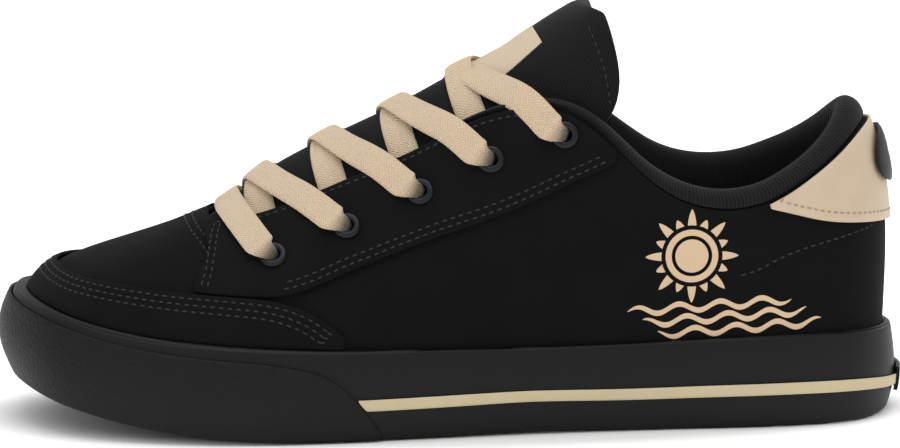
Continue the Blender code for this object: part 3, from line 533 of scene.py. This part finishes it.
# %% Tongue label
LABEL_START, LABEL_END = -0.0400, -0.0175
LABEL_HALF = 0.0122
LABEL_STEPS = 16
LABEL_LIFT = 0.0003
LABEL_THICK = 0.0007
tongue_tree = surface(tongue)
points = []
for i in range(LABEL_STEPS + 1):
    along = LABEL_START + (LABEL_END - LABEL_START) * i / LABEL_STEPS
    for k in range(LABEL_STEPS + 1):
        hit, normal = look_down(tongue_tree, along, LABEL_HALF * (2 * k / LABEL_STEPS - 1))
        points.append(hit + normal * LABEL_LIFT)
label = from_points("tongue_ribbon", points, grid_faces(LABEL_STEPS + 1, LABEL_STEPS + 1))
pick(label)
body = label.modifiers.new("thickness", "SOLIDIFY")
body.thickness = LABEL_THICK
body.offset = 1.0
bpy.ops.object.modifier_apply(modifier=body.name)
finish_piece(label, cream_ribbon, "tongue_label")
print("label length in mm:", round((LABEL_END - LABEL_START) * 1000, 1))


# %% [markdown]
# Each row of stitches is one thread that dips in and out of the leather. Only the upper
# bumps show, so one bump is modelled, a long bead that is flat below, and copied along
# the row, turned to the seam and half sunk in the skin.

# %% One stitch
STITCH_PITCH = 0.0028
STITCH_HALF_LENGTH = 0.00105
STITCH_HALF_WIDTH = 0.00034
STITCH_HALF_HEIGHT = STITCH_HALF_WIDTH * 0.9
STITCH_END_DIP = STITCH_HALF_WIDTH * 0.8
STITCH_LIFT = 0.00002
# A stitch begins at its hole, so its middle lies at this share of the pitch
STITCH_MIDDLE = 0.4
# A stitch is seated by a look from above the skin that goes on to a little below it
SEAT_ABOVE, SEAT_REACH = 0.008, 0.014


def make_stitch():
    """The points and faces of one stitch along X, with Z up."""
    bpy.ops.object.select_all(action="DESELECT")
    bpy.ops.mesh.primitive_uv_sphere_add(
        segments=8, ring_count=5, radius=1.0, rotation=(0, math.pi / 2, 0)
    )
    ball = bpy.context.object
    bpy.ops.object.transform_apply(location=True, rotation=True, scale=True)
    bpy.ops.object.mode_set(mode="EDIT")
    bpy.ops.mesh.select_all(action="SELECT")
    bpy.ops.transform.resize(value=(STITCH_HALF_LENGTH, STITCH_HALF_WIDTH, STITCH_HALF_HEIGHT))
    bpy.ops.object.mode_set(mode="OBJECT")
    points = [v.co.copy() for v in ball.data.vertices]
    faces = [tuple(f.vertices) for f in ball.data.polygons]
    bpy.data.objects.remove(ball)
    for p in points:
        # The ends dip into the leather
        p.z -= STITCH_END_DIP * (p.x / STITCH_HALF_LENGTH) ** 2
    return points, faces


STITCH_POINTS, STITCH_FACES = make_stitch()
print("faces of one stitch:", len(STITCH_FACES))


def sew(name, path, made, tree, pitch=STITCH_PITCH, first=0.0):
    """A row of stitches along a path of (place, normal) pairs, seated on a surface."""
    points = []
    faces = []
    places = evenly(path, pitch, first)
    for (start, out), (end, _) in zip(places, places[1:]):
        here = start.lerp(end, STITCH_MIDDLE)
        seat, normal, _, _ = tree.ray_cast(here + out * SEAT_ABOVE, -out, SEAT_REACH)
        if seat is None:
            continue
        side = normal.cross((end - start).normalized()).normalized()
        turn = Matrix((side.cross(normal), side, normal)).transposed()
        base = len(points)
        points += [seat + normal * STITCH_LIFT + turn @ p for p in STITCH_POINTS]
        faces += [tuple(base + v for v in f) for f in STITCH_FACES]
    obj = from_points(name, points, faces)
    obj.data.polygons.foreach_set("use_smooth", [True] * len(faces))
    obj.data.materials.append(made)
    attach(obj, "root")
    print(name, "stitches:", len(faces) // len(STITCH_FACES))


# %% [markdown]
# A seam follows the edge of the piece it holds, at a fixed distance, because the
# machine's foot runs along that edge. So each row starts from the piece's own edge: the
# highest or lowest point at every station along it.

# %% Edges of the overlays
SIDES = ((-1, "outer"), (1, "inner"))
# Stations are this far apart: along the instep in metres, and round the toe and heel in radians
INSTEP_STEP, TOE_STEP, HEEL_STEP = 0.003, 0.05, 0.06
TOE_AXIS, HEEL_AXIS = -0.185, -0.01
CAP_INSETS = (0.0018, 0.0040, 0.0062)
STAY_INSETS = (0.0018, 0.0040)
FRONT_INSET, THROAT_INSET, TAB_INSET = 0.0040, 0.0020, 0.0030
TAB_PITCH = 0.0024
# The normal at an edge is read this far in from it
INSIDE_EDGE = 0.003
# Along the instep: in front of the first the eyestay's low edge runs under the toe cap's own
# seam, and its front row and its throat row end at the other two
LOW_SEAM_START, FRONT_ROW_END, THROAT_ROW_END = -0.131, -0.137, -0.030


def instep_station(place):
    """Station: the way along the instep."""
    return place.dot(ALONG)


def turn_station(axis_x, facing):
    """Station: the angle round an upright axis, from the heel's side (1) or the toe's side (-1)."""
    return lambda place: math.atan2(place.y, (place.x - axis_x) * facing)


def edge_path(tree, obj, station, step, level, toward):
    """The top edge (toward 1) or bottom edge (-1) of a piece, as a path of (place, normal)."""
    best = {}
    for v in obj.data.vertices:
        key = round(station(v.co) / step)
        if key not in best or (level.dot(v.co) - level.dot(best[key])) * toward > 0:
            best[key] = v.co.copy()
    path = []
    for place in eased([best[key] for key in sorted(best)], 2):
        _, normal, _, _ = tree.find_nearest(place - level * toward * INSIDE_EDGE)
        # The nearest face may be on the lining's side, so its normal is turned away from the foot
        foot = Vector((place.x * 0.9 - 0.01, 0.0, 0.02))
        path.append((place, -normal if normal.dot(place - foot) < 0 else normal))
    return path


def beside(path, distance):
    """A path moved sideways on its surface, to the left of its direction seen from outside."""
    row = [place for place, _ in path]
    return [
        (place + normal.cross(heading(row, i)).normalized() * distance, normal)
        for i, (place, normal) in enumerate(path)
    ]


cap_tree = surface(toe_cap)
cap_edge = edge_path(cap_tree, toe_cap, turn_station(TOE_AXIS, -1), TOE_STEP, Z_UP, 1)
for row, inset in enumerate(CAP_INSETS):
    # Every second row is staggered by half a stitch
    first = STITCH_PITCH / 2 * (row % 2)
    sew("toe_cap_stitches_%d" % (row + 1), beside(cap_edge, inset), black_thread, cap_tree, first=first)
for stay, (side, word) in zip(stays, SIDES):
    stay_tree = surface(stay)
    low_edge = edge_path(stay_tree, stay, instep_station, INSTEP_STEP, UP, -1)
    high_edge = edge_path(stay_tree, stay, instep_station, INSTEP_STEP, UP, 1)
    low_edge = [pair for pair in low_edge if instep_station(pair[0]) > LOW_SEAM_START]
    front_edge = [pair for pair in high_edge if instep_station(pair[0]) < FRONT_ROW_END]
    throat_edge = [pair for pair in high_edge if instep_station(pair[0]) < THROAT_ROW_END]
    for row, inset in enumerate(STAY_INSETS):
        path = beside(low_edge, -side * inset)
        name = "eyestay_%s_seam_%d" % (word, row + 1)
        sew(name, path, black_thread, stay_tree, first=STITCH_PITCH / 2 * row)
    sew("eyestay_%s_front" % word, beside(front_edge, side * FRONT_INSET), black_thread, stay_tree)
    sew("eyestay_%s_throat" % word, beside(throat_edge, side * THROAT_INSET), black_thread, stay_tree)
tab_tree = surface(heel_tab)
tab_edge = edge_path(tab_tree, heel_tab, turn_station(HEEL_AXIS, 1), HEEL_STEP, Z_UP, -1)
# The two end places lie on the tab's pointed tips, where its edge turns back
sew("heel_tab_stitches", beside(tab_edge[1:-1], TAB_INSET), cream_thread, tab_tree, TAB_PITCH)


# %% [markdown]
# The sole's wall is glued to the upper right up to its rolled top edge. The solids keep
# a small gap there, so a soft lip of rubber bridges it and catches a thin line of light.

# %% Lip of the sole wall
SOLE_MIDDLE = -0.114
SOLE_SECTORS = 120
LIP_RISE = 0.0006
# Across the lip, from the leather to the rim: (share of the gap, share of the rise)
LIP_SHAPE = ((1.2, -0.8), (0.9, 0.4), (0.55, 0.9), (0.2, 0.7), (0.0, 0.0), (-0.05, -0.8))
# Points within this depth below the highest one count as the rim
RIM_DEPTH = 0.0005
# The look inward starts just above the rim. Past the widest gap, the usual one stands in
LOOK_ABOVE = 0.0004
WIDEST_GAP, USUAL_GAP = 0.009, 0.003


def rim_path(obj, middle_x, count):
    """The outer top edge of a piece, a place for each sector round an upright axis."""
    places = []
    for heap in filter(None, sector_points(obj, middle_x, count)):
        top = max(p.z for p in heap)
        level = [p for p in heap if p.z > top - RIM_DEPTH]
        places.append(max(level, key=lambda p: math.hypot(p.x - middle_x, p.y)))
    for _ in range(3):
        # The rim is closed, so every place has two neighbours
        behind = places[-1:] + places[:-1]
        ahead = places[1:] + places[:1]
        places = [(p + q * 2 + r) / 4 for p, q, r in zip(behind, places, ahead)]
    return places


def bridge(name, rim, middle_x, tree, made):
    """A rounded lip from a closed rim straight in to a surface."""
    points = []
    for place in rim:
        inward = Vector((middle_x - place.x, -place.y, 0.0)).normalized()
        target, _, _, _ = tree.ray_cast(place + Z_UP * LOOK_ABOVE, inward, WIDEST_GAP)
        if target is None:
            target = place + inward * USUAL_GAP
        target.z = place.z
        points += [place.lerp(target, t) + Z_UP * (LIP_RISE * v) for t, v in LIP_SHAPE]
    faces = grid_faces(len(rim), len(LIP_SHAPE), ring_of_rows=True)
    finish_piece(from_points(name, points, faces), made)


wall_rim = rim_path(sole, SOLE_MIDDLE, SOLE_SECTORS)
bridge("sole_lip", wall_rim, SOLE_MIDDLE, surface(upper, toe_cap), sole_rubber)
print("places round the sole's lip:", len(wall_rim))


# %% [markdown]
# The other seams join panels of the upper itself. They are given as places in the side
# view, in millimetres from the heel and above the floor, and found on the leather by
# looking in from the side. A low bead shows the cut edge of the panel on top.

# %% Panel seams
LINE_STEPS = 48
COLLAR_SEAM = [(-102, 99), (-96, 93), (-88, 85), (-78, 76), (-59, 60), (-47, 52), (-43, 47), (-42, 41)]
HEEL_SEAM = [(23, 63.5), (0, 58.5), (-11, 54.7), (-18, 51.3), (-26, 49.3)]
BEAD_WIDTH = 0.0009
BEAD_HEIGHT = 0.00022
# Across the bead: (share of its width, share of its height)
BEAD_SHAPE = ((-0.5, -0.4), (-0.42, 0.45), (0.0, 1.0), (0.42, 0.45), (0.5, -0.4))
# At each end it sinks in over this many steps, by this share of its height
BEAD_TAPER = 3
BEAD_SINK = 0.3


def spline(points, count):
    """Even steps along a smooth curve through flat points."""
    ends = [points[0]] + list(points) + [points[-1]]
    found = []
    spans = len(points) - 1
    for i in range(count + 1):
        t = i / count * spans
        k = min(int(t), spans - 1)
        t -= k
        a, b, c, d = ends[k : k + 4]
        found.append([
            0.5 * (
                2 * q + (r - p) * t + (2 * p - 5 * q + 4 * r - s) * t * t
                + (3 * q - p - 3 * r + s) * t ** 3
            )
            for p, q, r, s in zip(a, b, c, d)
        ])
    return found


def side_line(points, side, tree):
    """A path of (place, normal) on a surface through (x, z) places in the side view."""
    path = []
    for x, z in spline(points, LINE_STEPS):
        start = Vector((x / 1000, FAR_OUT * side, z / 1000))
        hit, normal, _, _ = tree.ray_cast(start, Vector((0.0, -side, 0.0)))
        if hit:
            path.append((hit, normal))
    return path


def bead(name, path, made):
    """A low rounded strip along a path: the cut edge or the fold of a panel."""
    points = []
    row = [place for place, _ in path]
    for i, (place, normal) in enumerate(path):
        across = heading(row, i).cross(normal).normalized()
        full = min(1.0, min(i, len(row) - 1 - i) / BEAD_TAPER)
        for u, v in BEAD_SHAPE:
            height = BEAD_HEIGHT * (v * full - BEAD_SINK * (1 - full))
            points.append(place + across * u * BEAD_WIDTH + normal * height)
    return finish_piece(from_points(name, points, grid_faces(len(path), len(BEAD_SHAPE))), made)


collar_seams = {}
for side, word in SIDES:
    path = side_line(COLLAR_SEAM, side, leather_tree)
    collar_seams[word] = bead("collar_seam_" + word, path, nubuck)
    sew("heel_seam_" + word, side_line(HEEL_SEAM, side, leather_tree), black_thread, leather_tree)


# %% [markdown]
# The tongue has a folded border held by one row of stitches, drawn in the side view. Two
# more rows run round the front of the throat, drawn as seen from above.

# %% Tongue border and throat
TONGUE_BORDER = [(-64.5, 104), (-64.8, 107), (-66.5, 116), (-69.8, 126), (-72.0, 131.5)]
THROAT_FRONT = [(-187, -31), (-191, -24), (-195.5, -13), (-197, 0), (-195.5, 13), (-191, 24), (-187, 31)]
# Millimetres in front of the throat, and how far from it a row is twice as wide
THROAT_ROWS = (2.4, 4.8)
THROAT_SPREAD = 90


def top_line(points, tree):
    """A path of (place, normal) on a surface through (x, y) places seen from above."""
    path = []
    for x, y in spline(points, LINE_STEPS):
        hit, normal, _, _ = tree.ray_cast(Vector((x / 1000, y / 1000, FAR_OUT)), -Z_UP)
        if hit:
            path.append((hit, normal))
    return path


for side, word in SIDES:
    sew("tongue_border_" + word, side_line(TONGUE_BORDER, side, tongue_tree), black_thread, tongue_tree)
for row, ahead in enumerate(THROAT_ROWS):
    path = top_line([(x - ahead, y * (1 + ahead / THROAT_SPREAD)) for x, y in THROAT_FRONT], leather_tree)
    sew("throat_stitches_%d" % (row + 1), path, black_thread, leather_tree)


# %% [markdown]
# Each eyelet is a brass ring pressed over the edge of its hole. A flattened torus gives
# the rolled rim, and its place and tilt come from the eyelet's solid: the thin direction
# of a ring is its axis.

# %% Eyelets
EYELET_ROWS = 5
# Half the rim's width before it is flattened, how flat it is, and how far it sinks in
RIM_HALF = 0.0011
RIM_FLATNESS = 0.6
RIM_SINK = 0.0005


def ring_facts(node):
    """Top centre, outward axis and outer radius of a ring, from its own points."""
    obj = merged_copy(node, node + "_facts")
    points = [v.co.copy() for v in obj.data.vertices]
    bpy.data.objects.remove(obj)
    centre = sum(points, Vector()) / len(points)
    arms = [p - centre for p in points]
    spread = Matrix([[sum(arm[i] * arm[j] for arm in arms) for j in range(3)] for i in range(3)])
    axis = Vector((0.0, centre.y, 0.03)).normalized()
    for _ in range(40):
        # Repeated solving turns any start toward the direction with the least spread
        axis = (spread.inverted() @ axis).normalized()
    if axis.y * centre.y < 0:
        axis = -axis
    rim = max((arm - axis * arm.dot(axis)).length for arm in arms)
    top = max(arm.dot(axis) for arm in arms)
    return centre + axis * top, axis, rim


EYELETS = {}
for _, word in SIDES:
    for row in range(1, EYELET_ROWS + 1):
        node = "eyelet_%s_%d" % (word, row)
        top, axis, rim = ring_facts(node)
        EYELETS[word, row] = (top, axis)
        bpy.ops.object.select_all(action="DESELECT")
        bpy.ops.mesh.primitive_torus_add(
            major_radius=rim - RIM_HALF, minor_radius=RIM_HALF, major_segments=40, minor_segments=12
        )
        ring = bpy.context.object
        ring.name = node + "_ring"
        ring.rotation_euler = axis.to_track_quat("Z", "Y").to_euler()
        ring.location = top - axis * RIM_SINK
        ring.scale.z = RIM_FLATNESS
        bpy.ops.object.transform_apply(location=True, rotation=True, scale=True)
        finish_piece(ring, eyelet_metal, node)
print("eyelet radius in mm:", round(rim * 1000, 2))


# %% [markdown]
# The lace is pulled tight over the tongue, so each strand takes the shortest way over
# what lies under it, like a string over a hill. Heights are read straight down onto the
# instep, which leans forward, and the upper hull of those heights is the taut line.

# %% Taut lines over the instep
NOTHING_THERE = -1.0
LINE_PITCH = 0.001
cover_tree = surface(upper, collar, *stays)


def height_at(tree, along, across):
    """Height over the instep plane at a place on it, or a very low one where there is nothing."""
    hit, _ = look_down(tree, along, across)
    return hit.dot(UP) if hit else NOTHING_THERE


def taut(points):
    """The upper hull of (distance, height) points, read at each point's distance."""
    hull = []
    for point in points:
        while len(hull) > 1:
            (ax, ay), (bx, by) = hull[-2:]
            if (bx - ax) * (point[1] - ay) - (by - ay) * (point[0] - ax) < 0:
                break
            hull.pop()
        hull.append(point)
    heights = []
    for x, _ in points:
        for (ax, ay), (bx, by) in zip(hull, hull[1:]):
            if ax <= x <= bx:
                heights.append(ay + (by - ay) * (x - ax) / max(bx - ax, 1e-9))
                break
    return heights


def smooth_line(line, rounds):
    """The line in even steps, with its corners rounded."""
    even = [place for place, _ in evenly([(p, Z_UP) for p in line], LINE_PITCH)]
    return eased(even + [line[-1]], rounds)


print("taut height over a hill of 1:", taut([(0, 0), (1, 0), (2, 1), (3, 0), (4, 0)])[1])


# %% [markdown]
# A strand comes up from under the leather of one side, crosses the tongue, and goes down
# through an eyelet of the other side. Where it lands, its whole width has to clear the
# throat's edge, and at a crossing one strand is lifted over the other.

# %% Strands from eyelet to eyelet
LACE_WIDTH = 0.0098
LACE_THICK = 0.0016
STRAND_STEPS = 64
# A strand aims this far in front of the middle of its eyelet
LANDING_AHEAD = 0.0018
LANDING_HALF = 0.0055
# Cut back to here, it is led in over four places: (short of the middle, out)
LANDING_CUT = 0.0062
LANDING_PLACES = ((0.0032, 0.0015), (0.0012, 0.0007), (0.0003, -0.0009), (0.0, -0.0040))
# Depths under its own eyelet at which a strand starts and turns
START_DEPTH, TURN_DEPTH = 0.0050, 0.0045
# Depth below the leather at the throat's edge
EDGE_DEPTH = 0.003
# Height of its middle over what is under it, as a share of its thickness
SEAT_SHARE = 0.75
# The lift over another strand fades over this distance from the middle
CROSSING_HALF = 0.006
# How far the middle of the bar across the first row lies forward
BAR_BOW = 0.0045


def into_hole(line, centre, axis):
    """The line cut back to the ring and led over its rim into the hole."""
    while (line[-1] - centre).length < LANDING_CUT:
        line.pop()
    arrival = centre - line[-1]
    arrival = (arrival - axis * arrival.dot(axis)).normalized()
    way = (arrival * 0.75 + ALONG * 0.25).normalized()
    return line + [centre - way * short + axis * out for short, out in LANDING_PLACES]


def strand_line(start, end, rises, lift, bow):
    """Places of a strand from one eyelet to another.

    rises: it comes up from under the start eyelet's leather; lift: extra height where it
    crosses another strand; bow: how far its middle lies forward.
    """
    (a, axis_a), (b, axis_b) = EYELETS[start], EYELETS[end]
    a_ahead = 0.0 if rises else LANDING_AHEAD
    plan = []
    for i in range(STRAND_STEPS + 1):
        t = i / STRAND_STEPS
        x = (a.dot(ALONG) - a_ahead) * (1 - t) + (b.dot(ALONG) - LANDING_AHEAD) * t
        plan.append((x - bow * 4 * t * (1 - t), a.y * (1 - t) + b.y * t))
    half_way = STRAND_STEPS // 2
    first = 0
    heights = []
    for i, (x, y) in enumerate(plan):
        covered = height_at(cover_tree, x, y) > height_at(tongue_tree, x, y)
        if rises and i < half_way and covered and first == i:
            first = i + 1
        landing = i > half_way or not rises
        offsets = (-LANDING_HALF, 0.0, LANDING_HALF) if landing else (0.0,)
        tall = max(height_at(tree, x + d, y) for tree in (cover_tree, tongue_tree) for d in offsets)
        heights.append(tall if tall > 0 else heights[-1])
    if rises:
        heights[first] = max(height_at(tongue_tree, *plan[first]), heights[first] - EDGE_DEPTH)
    run = []
    for place, height in zip(plan[first:], heights[first:]):
        near = math.dist(place, plan[half_way]) / CROSSING_HALF
        lifted = height + LACE_THICK * SEAT_SHARE + lift * math.exp(-near * near)
        run.append((math.dist(place, plan[first]), lifted))
    line = [over_instep(x, y, height) for (x, y), height in zip(plan[first:], taut(run))]
    line = into_hole(smooth_line(line, 22), b, axis_b)
    if rises:
        line = [a - axis_a * START_DEPTH, line[0].lerp(a - axis_a * TURN_DEPTH, 0.5)] + line
    else:
        line = into_hole(line[::-1], a, axis_a)[::-1]
    return smooth_line(line, 2)


bar_line = strand_line(("outer", 1), ("inner", 1), False, 0.0, BAR_BOW)
print("places along the lace bar:", len(bar_line))


# %% [markdown]
# A ribbon is swept along each taut line. It faces up on the ridge of the tongue and turns
# evenly to face the way its eyelet does. Near an eyelet it gathers: it gets narrower and
# thicker. Its map keeps the weave even, and an attribute holds painted shade at the hole.

# %% Lace ribbons
all_under = surface(upper, tongue, collar, *stays)
SECTION = 16
RIDGE_HALF = 0.022
# The ridge's own normal is used where its cosine with the instep's is above this
RIDGE_LEAN = 0.8
# Way from the end at which gathering is complete, its length, and the gathered shares
GATHER_START, GATHER_LENGTH = 0.0038, 0.0058
GATHERED_WIDTH, GATHERED_THICK = 0.55, 1.5
# Way from the end where the painted shade of the hole starts, its length, and how dark it gets
SHADE_START, SHADE_LENGTH, SHADE_MOST = 0.0080, 0.0036, 0.9


def share(value):
    """The value held between 0 and 1."""
    return min(max(value, 0.0), 1.0)


def soft_step(value):
    """From 0 to 1 with a soft start and end."""
    t = share(value)
    return t * t * (3 - 2 * t)


def ribbon_section(width, thick):
    """A flat oval with full edges: points as (across, up)."""
    ring = []
    for i in range(SECTION):
        angle = 2 * math.pi * i / SECTION
        c, s = math.cos(angle), math.sin(angle)
        ring.append((
            math.copysign(abs(c) ** 0.7, c) * width / 2,
            math.copysign(abs(s) ** 0.8, s) * thick / 2,
        ))
    return ring


def facing(line):
    """The normal of the lace at each place of a line."""
    _, ridge, _, _ = all_under.find_nearest(min(line, key=lambda p: abs(p.y)))
    ridge = Vector((ridge.x, 0.0, ridge.z)).normalized()
    if ridge.dot(UP) <= RIDGE_LEAN:
        ridge = UP
    normals = []
    for p in line:
        _, axis = min(EYELETS.values(), key=lambda e: (e[0] - p).length)
        normals.append(ridge.lerp(axis, soft_step(abs(p.y) / RIDGE_HALF)).normalized())
    for _ in range(14):
        normals = [n.normalized() for n in eased(normals, 1)]
    return normals


def ribbon(name, lines):
    """One mesh with a ribbon along each line of places."""
    points = []
    faces = []
    maps = []
    shades = []
    for line in lines:
        ways = [0.0]
        for p, q in zip(line, line[1:]):
            ways.append(ways[-1] + (q - p).length)
        base = len(points)
        for i, (p, normal) in enumerate(zip(line, facing(line))):
            way = heading(line, i)
            across = way.cross(normal).normalized()
            up = across.cross(way)
            from_end = min(ways[i], ways[-1] - ways[i])
            full = soft_step((from_end - GATHER_START) / GATHER_LENGTH)
            width = LACE_WIDTH * (GATHERED_WIDTH + (1 - GATHERED_WIDTH) * full)
            thick = LACE_THICK * (GATHERED_THICK + (1 - GATHERED_THICK) * full)
            # Painted shade, darkest where the lace goes into the hole
            painted_shade = SHADE_MOST * share((SHADE_START - from_end) / SHADE_LENGTH) ** 1.5
            for u, v in ribbon_section(width, thick):
                points.append(p + across * u + up * v)
                maps.append((u / width * LACE_WIDTH, ways[i]))
                shades.append(painted_shade)
        faces += grid_faces(len(line), SECTION, base, ring_of_columns=True)
        faces.append(tuple(base + k for k in reversed(range(SECTION))))
        faces.append(tuple(len(points) - SECTION + k for k in range(SECTION)))
    obj = from_points(name, points, faces)
    layer = obj.data.uv_layers.new(name="lace")
    for corner in obj.data.loops:
        layer.data[corner.index].uv = maps[corner.vertex_index]
    obj.data.attributes.new("painted_hole_shade", "FLOAT", "POINT").data.foreach_set("value", shades)
    return obj


CROSSING_LIFT = 0.0019
CROSSING_BOW = 0.0055
finish_piece(ribbon("lace_bar", [bar_line]), lace_cotton, "lace_bar_1")
for row in range(1, EYELET_ROWS):
    # On the top crossing the strand from the outer side lies above, elsewhere below
    above = "outer" if row == EYELET_ROWS - 1 else "inner"
    lifts = {"outer": 0.0, "inner": 0.0, above: CROSSING_LIFT}
    lines = [
        strand_line((start, row), (end, row + 1), True, lifts[start], CROSSING_BOW)
        for start, end in (("outer", "inner"), ("inner", "outer"))
    ]
    cross = ribbon("lace_crossing_%d" % row, lines)
    finish_piece(cross, lace_cotton, "lace_cross_%d" % row)
print("lace crossings: 4, faces each about", len(cross.data.polygons))


# %% [markdown]
# A tan emblem drawn for this part is screen printed behind the eyestay, on the outer side
# only: a sun over three waves. Ink is a thin film, so each shape is a small grid laid on
# the leather and lifted by about a tenth of a millimetre.

# %% Printed emblem
PRINT_LIFT = 0.00015
# From here on, lengths of the emblem are in millimetres in the side view
SUN = (-39.0, 56.6)
SUN_STEPS = 64
SUN_DISC = (0.02, 2.0, 4.0, 5.4)
SUN_RING = (6.6, 7.6, 8.6)
RAYS = 16
RAY_STEPS = 6
RAY_START, LONG_RAY, SHORT_RAY = 10.0, 15.2, 12.6
# Half a ray's width at its foot and tip, as an angle in radians
RAY_HALF, RAY_TIP = 0.135, 0.006
WAVES = 3
WAVE_STEPS = 90
WAVE_START = (-60.0, 38.8)
WAVE_SHIFT = (5.0, -3.8)
WAVE_LENGTH, WAVE_CLIMB, WAVE_HEIGHT = 54.0, 3.0, 1.25
WAVE_CRESTS = 4
# How far each wave is turned against the one above it, in radians
WAVE_TURN = 1.1
WAVE_HALF, WAVE_TIP = 0.85, 0.04
# A wave narrows over this share of its length at each end
WAVE_TAPER = 0.12
print_tree = surface(upper, collar_seams["outer"])
print_points = []
print_faces = []


def print_grid(rows):
    """Lays a grid of (x, z) places on the outer side."""
    print_faces.extend(grid_faces(len(rows), len(rows[0]), len(print_points)))
    for row in rows:
        for x, z in row:
            start = Vector((x / 1000, -FAR_OUT, z / 1000))
            hit, _, _, _ = print_tree.ray_cast(start, Vector((0.0, 1.0, 0.0)))
            print_points.append(hit - Vector((0.0, PRINT_LIFT, 0.0)))


def from_sun(radius, angle):
    """A place given from the middle of the sun."""
    return SUN[0] + radius * math.cos(angle), SUN[1] + radius * math.sin(angle)


turns = [2 * math.pi * i / SUN_STEPS for i in range(SUN_STEPS + 1)]
for radii in (SUN_DISC, SUN_RING):
    print_grid([[from_sun(radius, angle) for angle in turns] for radius in radii])
for i in range(RAYS):
    middle = 2 * math.pi * i / RAYS
    reach = LONG_RAY if i % 2 == 0 else SHORT_RAY
    rows = []
    for k in range(RAY_STEPS + 1):
        radius = RAY_START + (reach - RAY_START) * k / RAY_STEPS
        half = RAY_HALF * (1 - k / RAY_STEPS) ** 0.8 + RAY_TIP
        rows.append([from_sun(radius, angle) for angle in (middle - half, middle, middle + half)])
    print_grid(rows)
for i in range(WAVES):
    rows = []
    for k in range(WAVE_STEPS + 1):
        t = k / WAVE_STEPS
        x = WAVE_START[0] + i * WAVE_SHIFT[0] + WAVE_LENGTH * t
        swell = WAVE_HEIGHT * math.sin(t * 2 * WAVE_CRESTS * math.pi + i * WAVE_TURN)
        z = WAVE_START[1] + i * WAVE_SHIFT[1] + swell + WAVE_CLIMB * t
        half = WAVE_HALF * min(1.0, t / WAVE_TAPER, (1 - t) / WAVE_TAPER) ** 0.6 + WAVE_TIP
        rows.append([(x, z - half), (x, z), (x, z + half)])
    print_grid(rows)
finish_piece(from_points("side_emblem", print_points, print_faces), print_ink)
print("emblem faces:", len(print_faces))


# %% [markdown]
# The shoe stands on a wide pale sweep under three soft lamps: a large one above, a
# weaker one from the camera's left and a rim lamp behind, as in a catalogue studio. Away
# from the shoe the sweep itself glows, as painted light.

# %% Stage and light
FLOOR_SIZE = 30.0
# The sole's outline is about one unit from the middle of this layout
GLOW_MIDDLE = (0.7, 0.0, 0.0)
GLOW_SCALE = (6.1, 15.0, 1.0)
GLOW_FROM, GLOW_TO, GLOW_MOST = 0.78, 1.10, 0.42
WORLD_LIGHT = 0.74


def make_sweep():
    """White paint with a painted glow: none near the shoe, so the floor there stays in shade, rising away
    from it.
    """
    made, tree, shader = new_material("matt white sweep, painted glow", "f4f4f4", 0.9)
    shader.inputs["Emission Color"].default_value = linear("ffffff")
    place = add_node(tree, "ShaderNodeTexCoord").outputs["Object"]
    laid = add_node(
        tree, "ShaderNodeMapping", {"Vector": place, "Location": GLOW_MIDDLE, "Scale": GLOW_SCALE}
    )
    reach = add_node(tree, "ShaderNodeVectorMath", {0: laid.outputs["Vector"]}, operation="LENGTH")
    # Painted light: the floor glows more the farther it lies from the shoe
    glow = add_node(
        tree,
        "ShaderNodeMapRange",
        {"Value": reach.outputs["Value"], "From Min": GLOW_FROM, "From Max": GLOW_TO, "To Max": GLOW_MOST},
        interpolation_type="SMOOTHSTEP",
    )
    tree.links.new(glow.outputs["Result"], shader.inputs["Emission Strength"])
    return made


bpy.ops.mesh.primitive_plane_add(size=FLOOR_SIZE, location=(0.0, 0.0, 0.0))
floor = bpy.context.object
floor.name = "studio_floor"
floor.data.materials.append(make_sweep())


def add_lamp(name, place, size, power):
    """A soft square lamp aimed at the middle of the shoe."""
    bpy.ops.object.light_add(type="AREA", location=place)
    lamp = bpy.context.object
    lamp.name = name
    lamp.data.size = size
    lamp.data.energy = power
    lamp.rotation_euler = (Vector(place) - LOOK_AT).to_track_quat("Z", "Y").to_euler()


add_lamp("overhead_lamp", (-0.1, -0.15, 1.3), 1.2, 9.0)
add_lamp("front_lamp", (-1.0, -1.1, 0.6), 0.9, 1.3)
add_lamp("back_lamp", (0.6, 0.9, 0.7), 0.7, 2.5)
world = bpy.data.worlds.new("studio")
bpy.context.scene.world = world
world.use_nodes = True
sky = world.node_tree.nodes["Background"]
sky.inputs["Color"].default_value = linear("ffffff")
sky.inputs["Strength"].default_value = WORLD_LIGHT
bpy.context.scene.view_settings.view_transform = "Standard"
print("lamps:", len(bpy.data.lights))
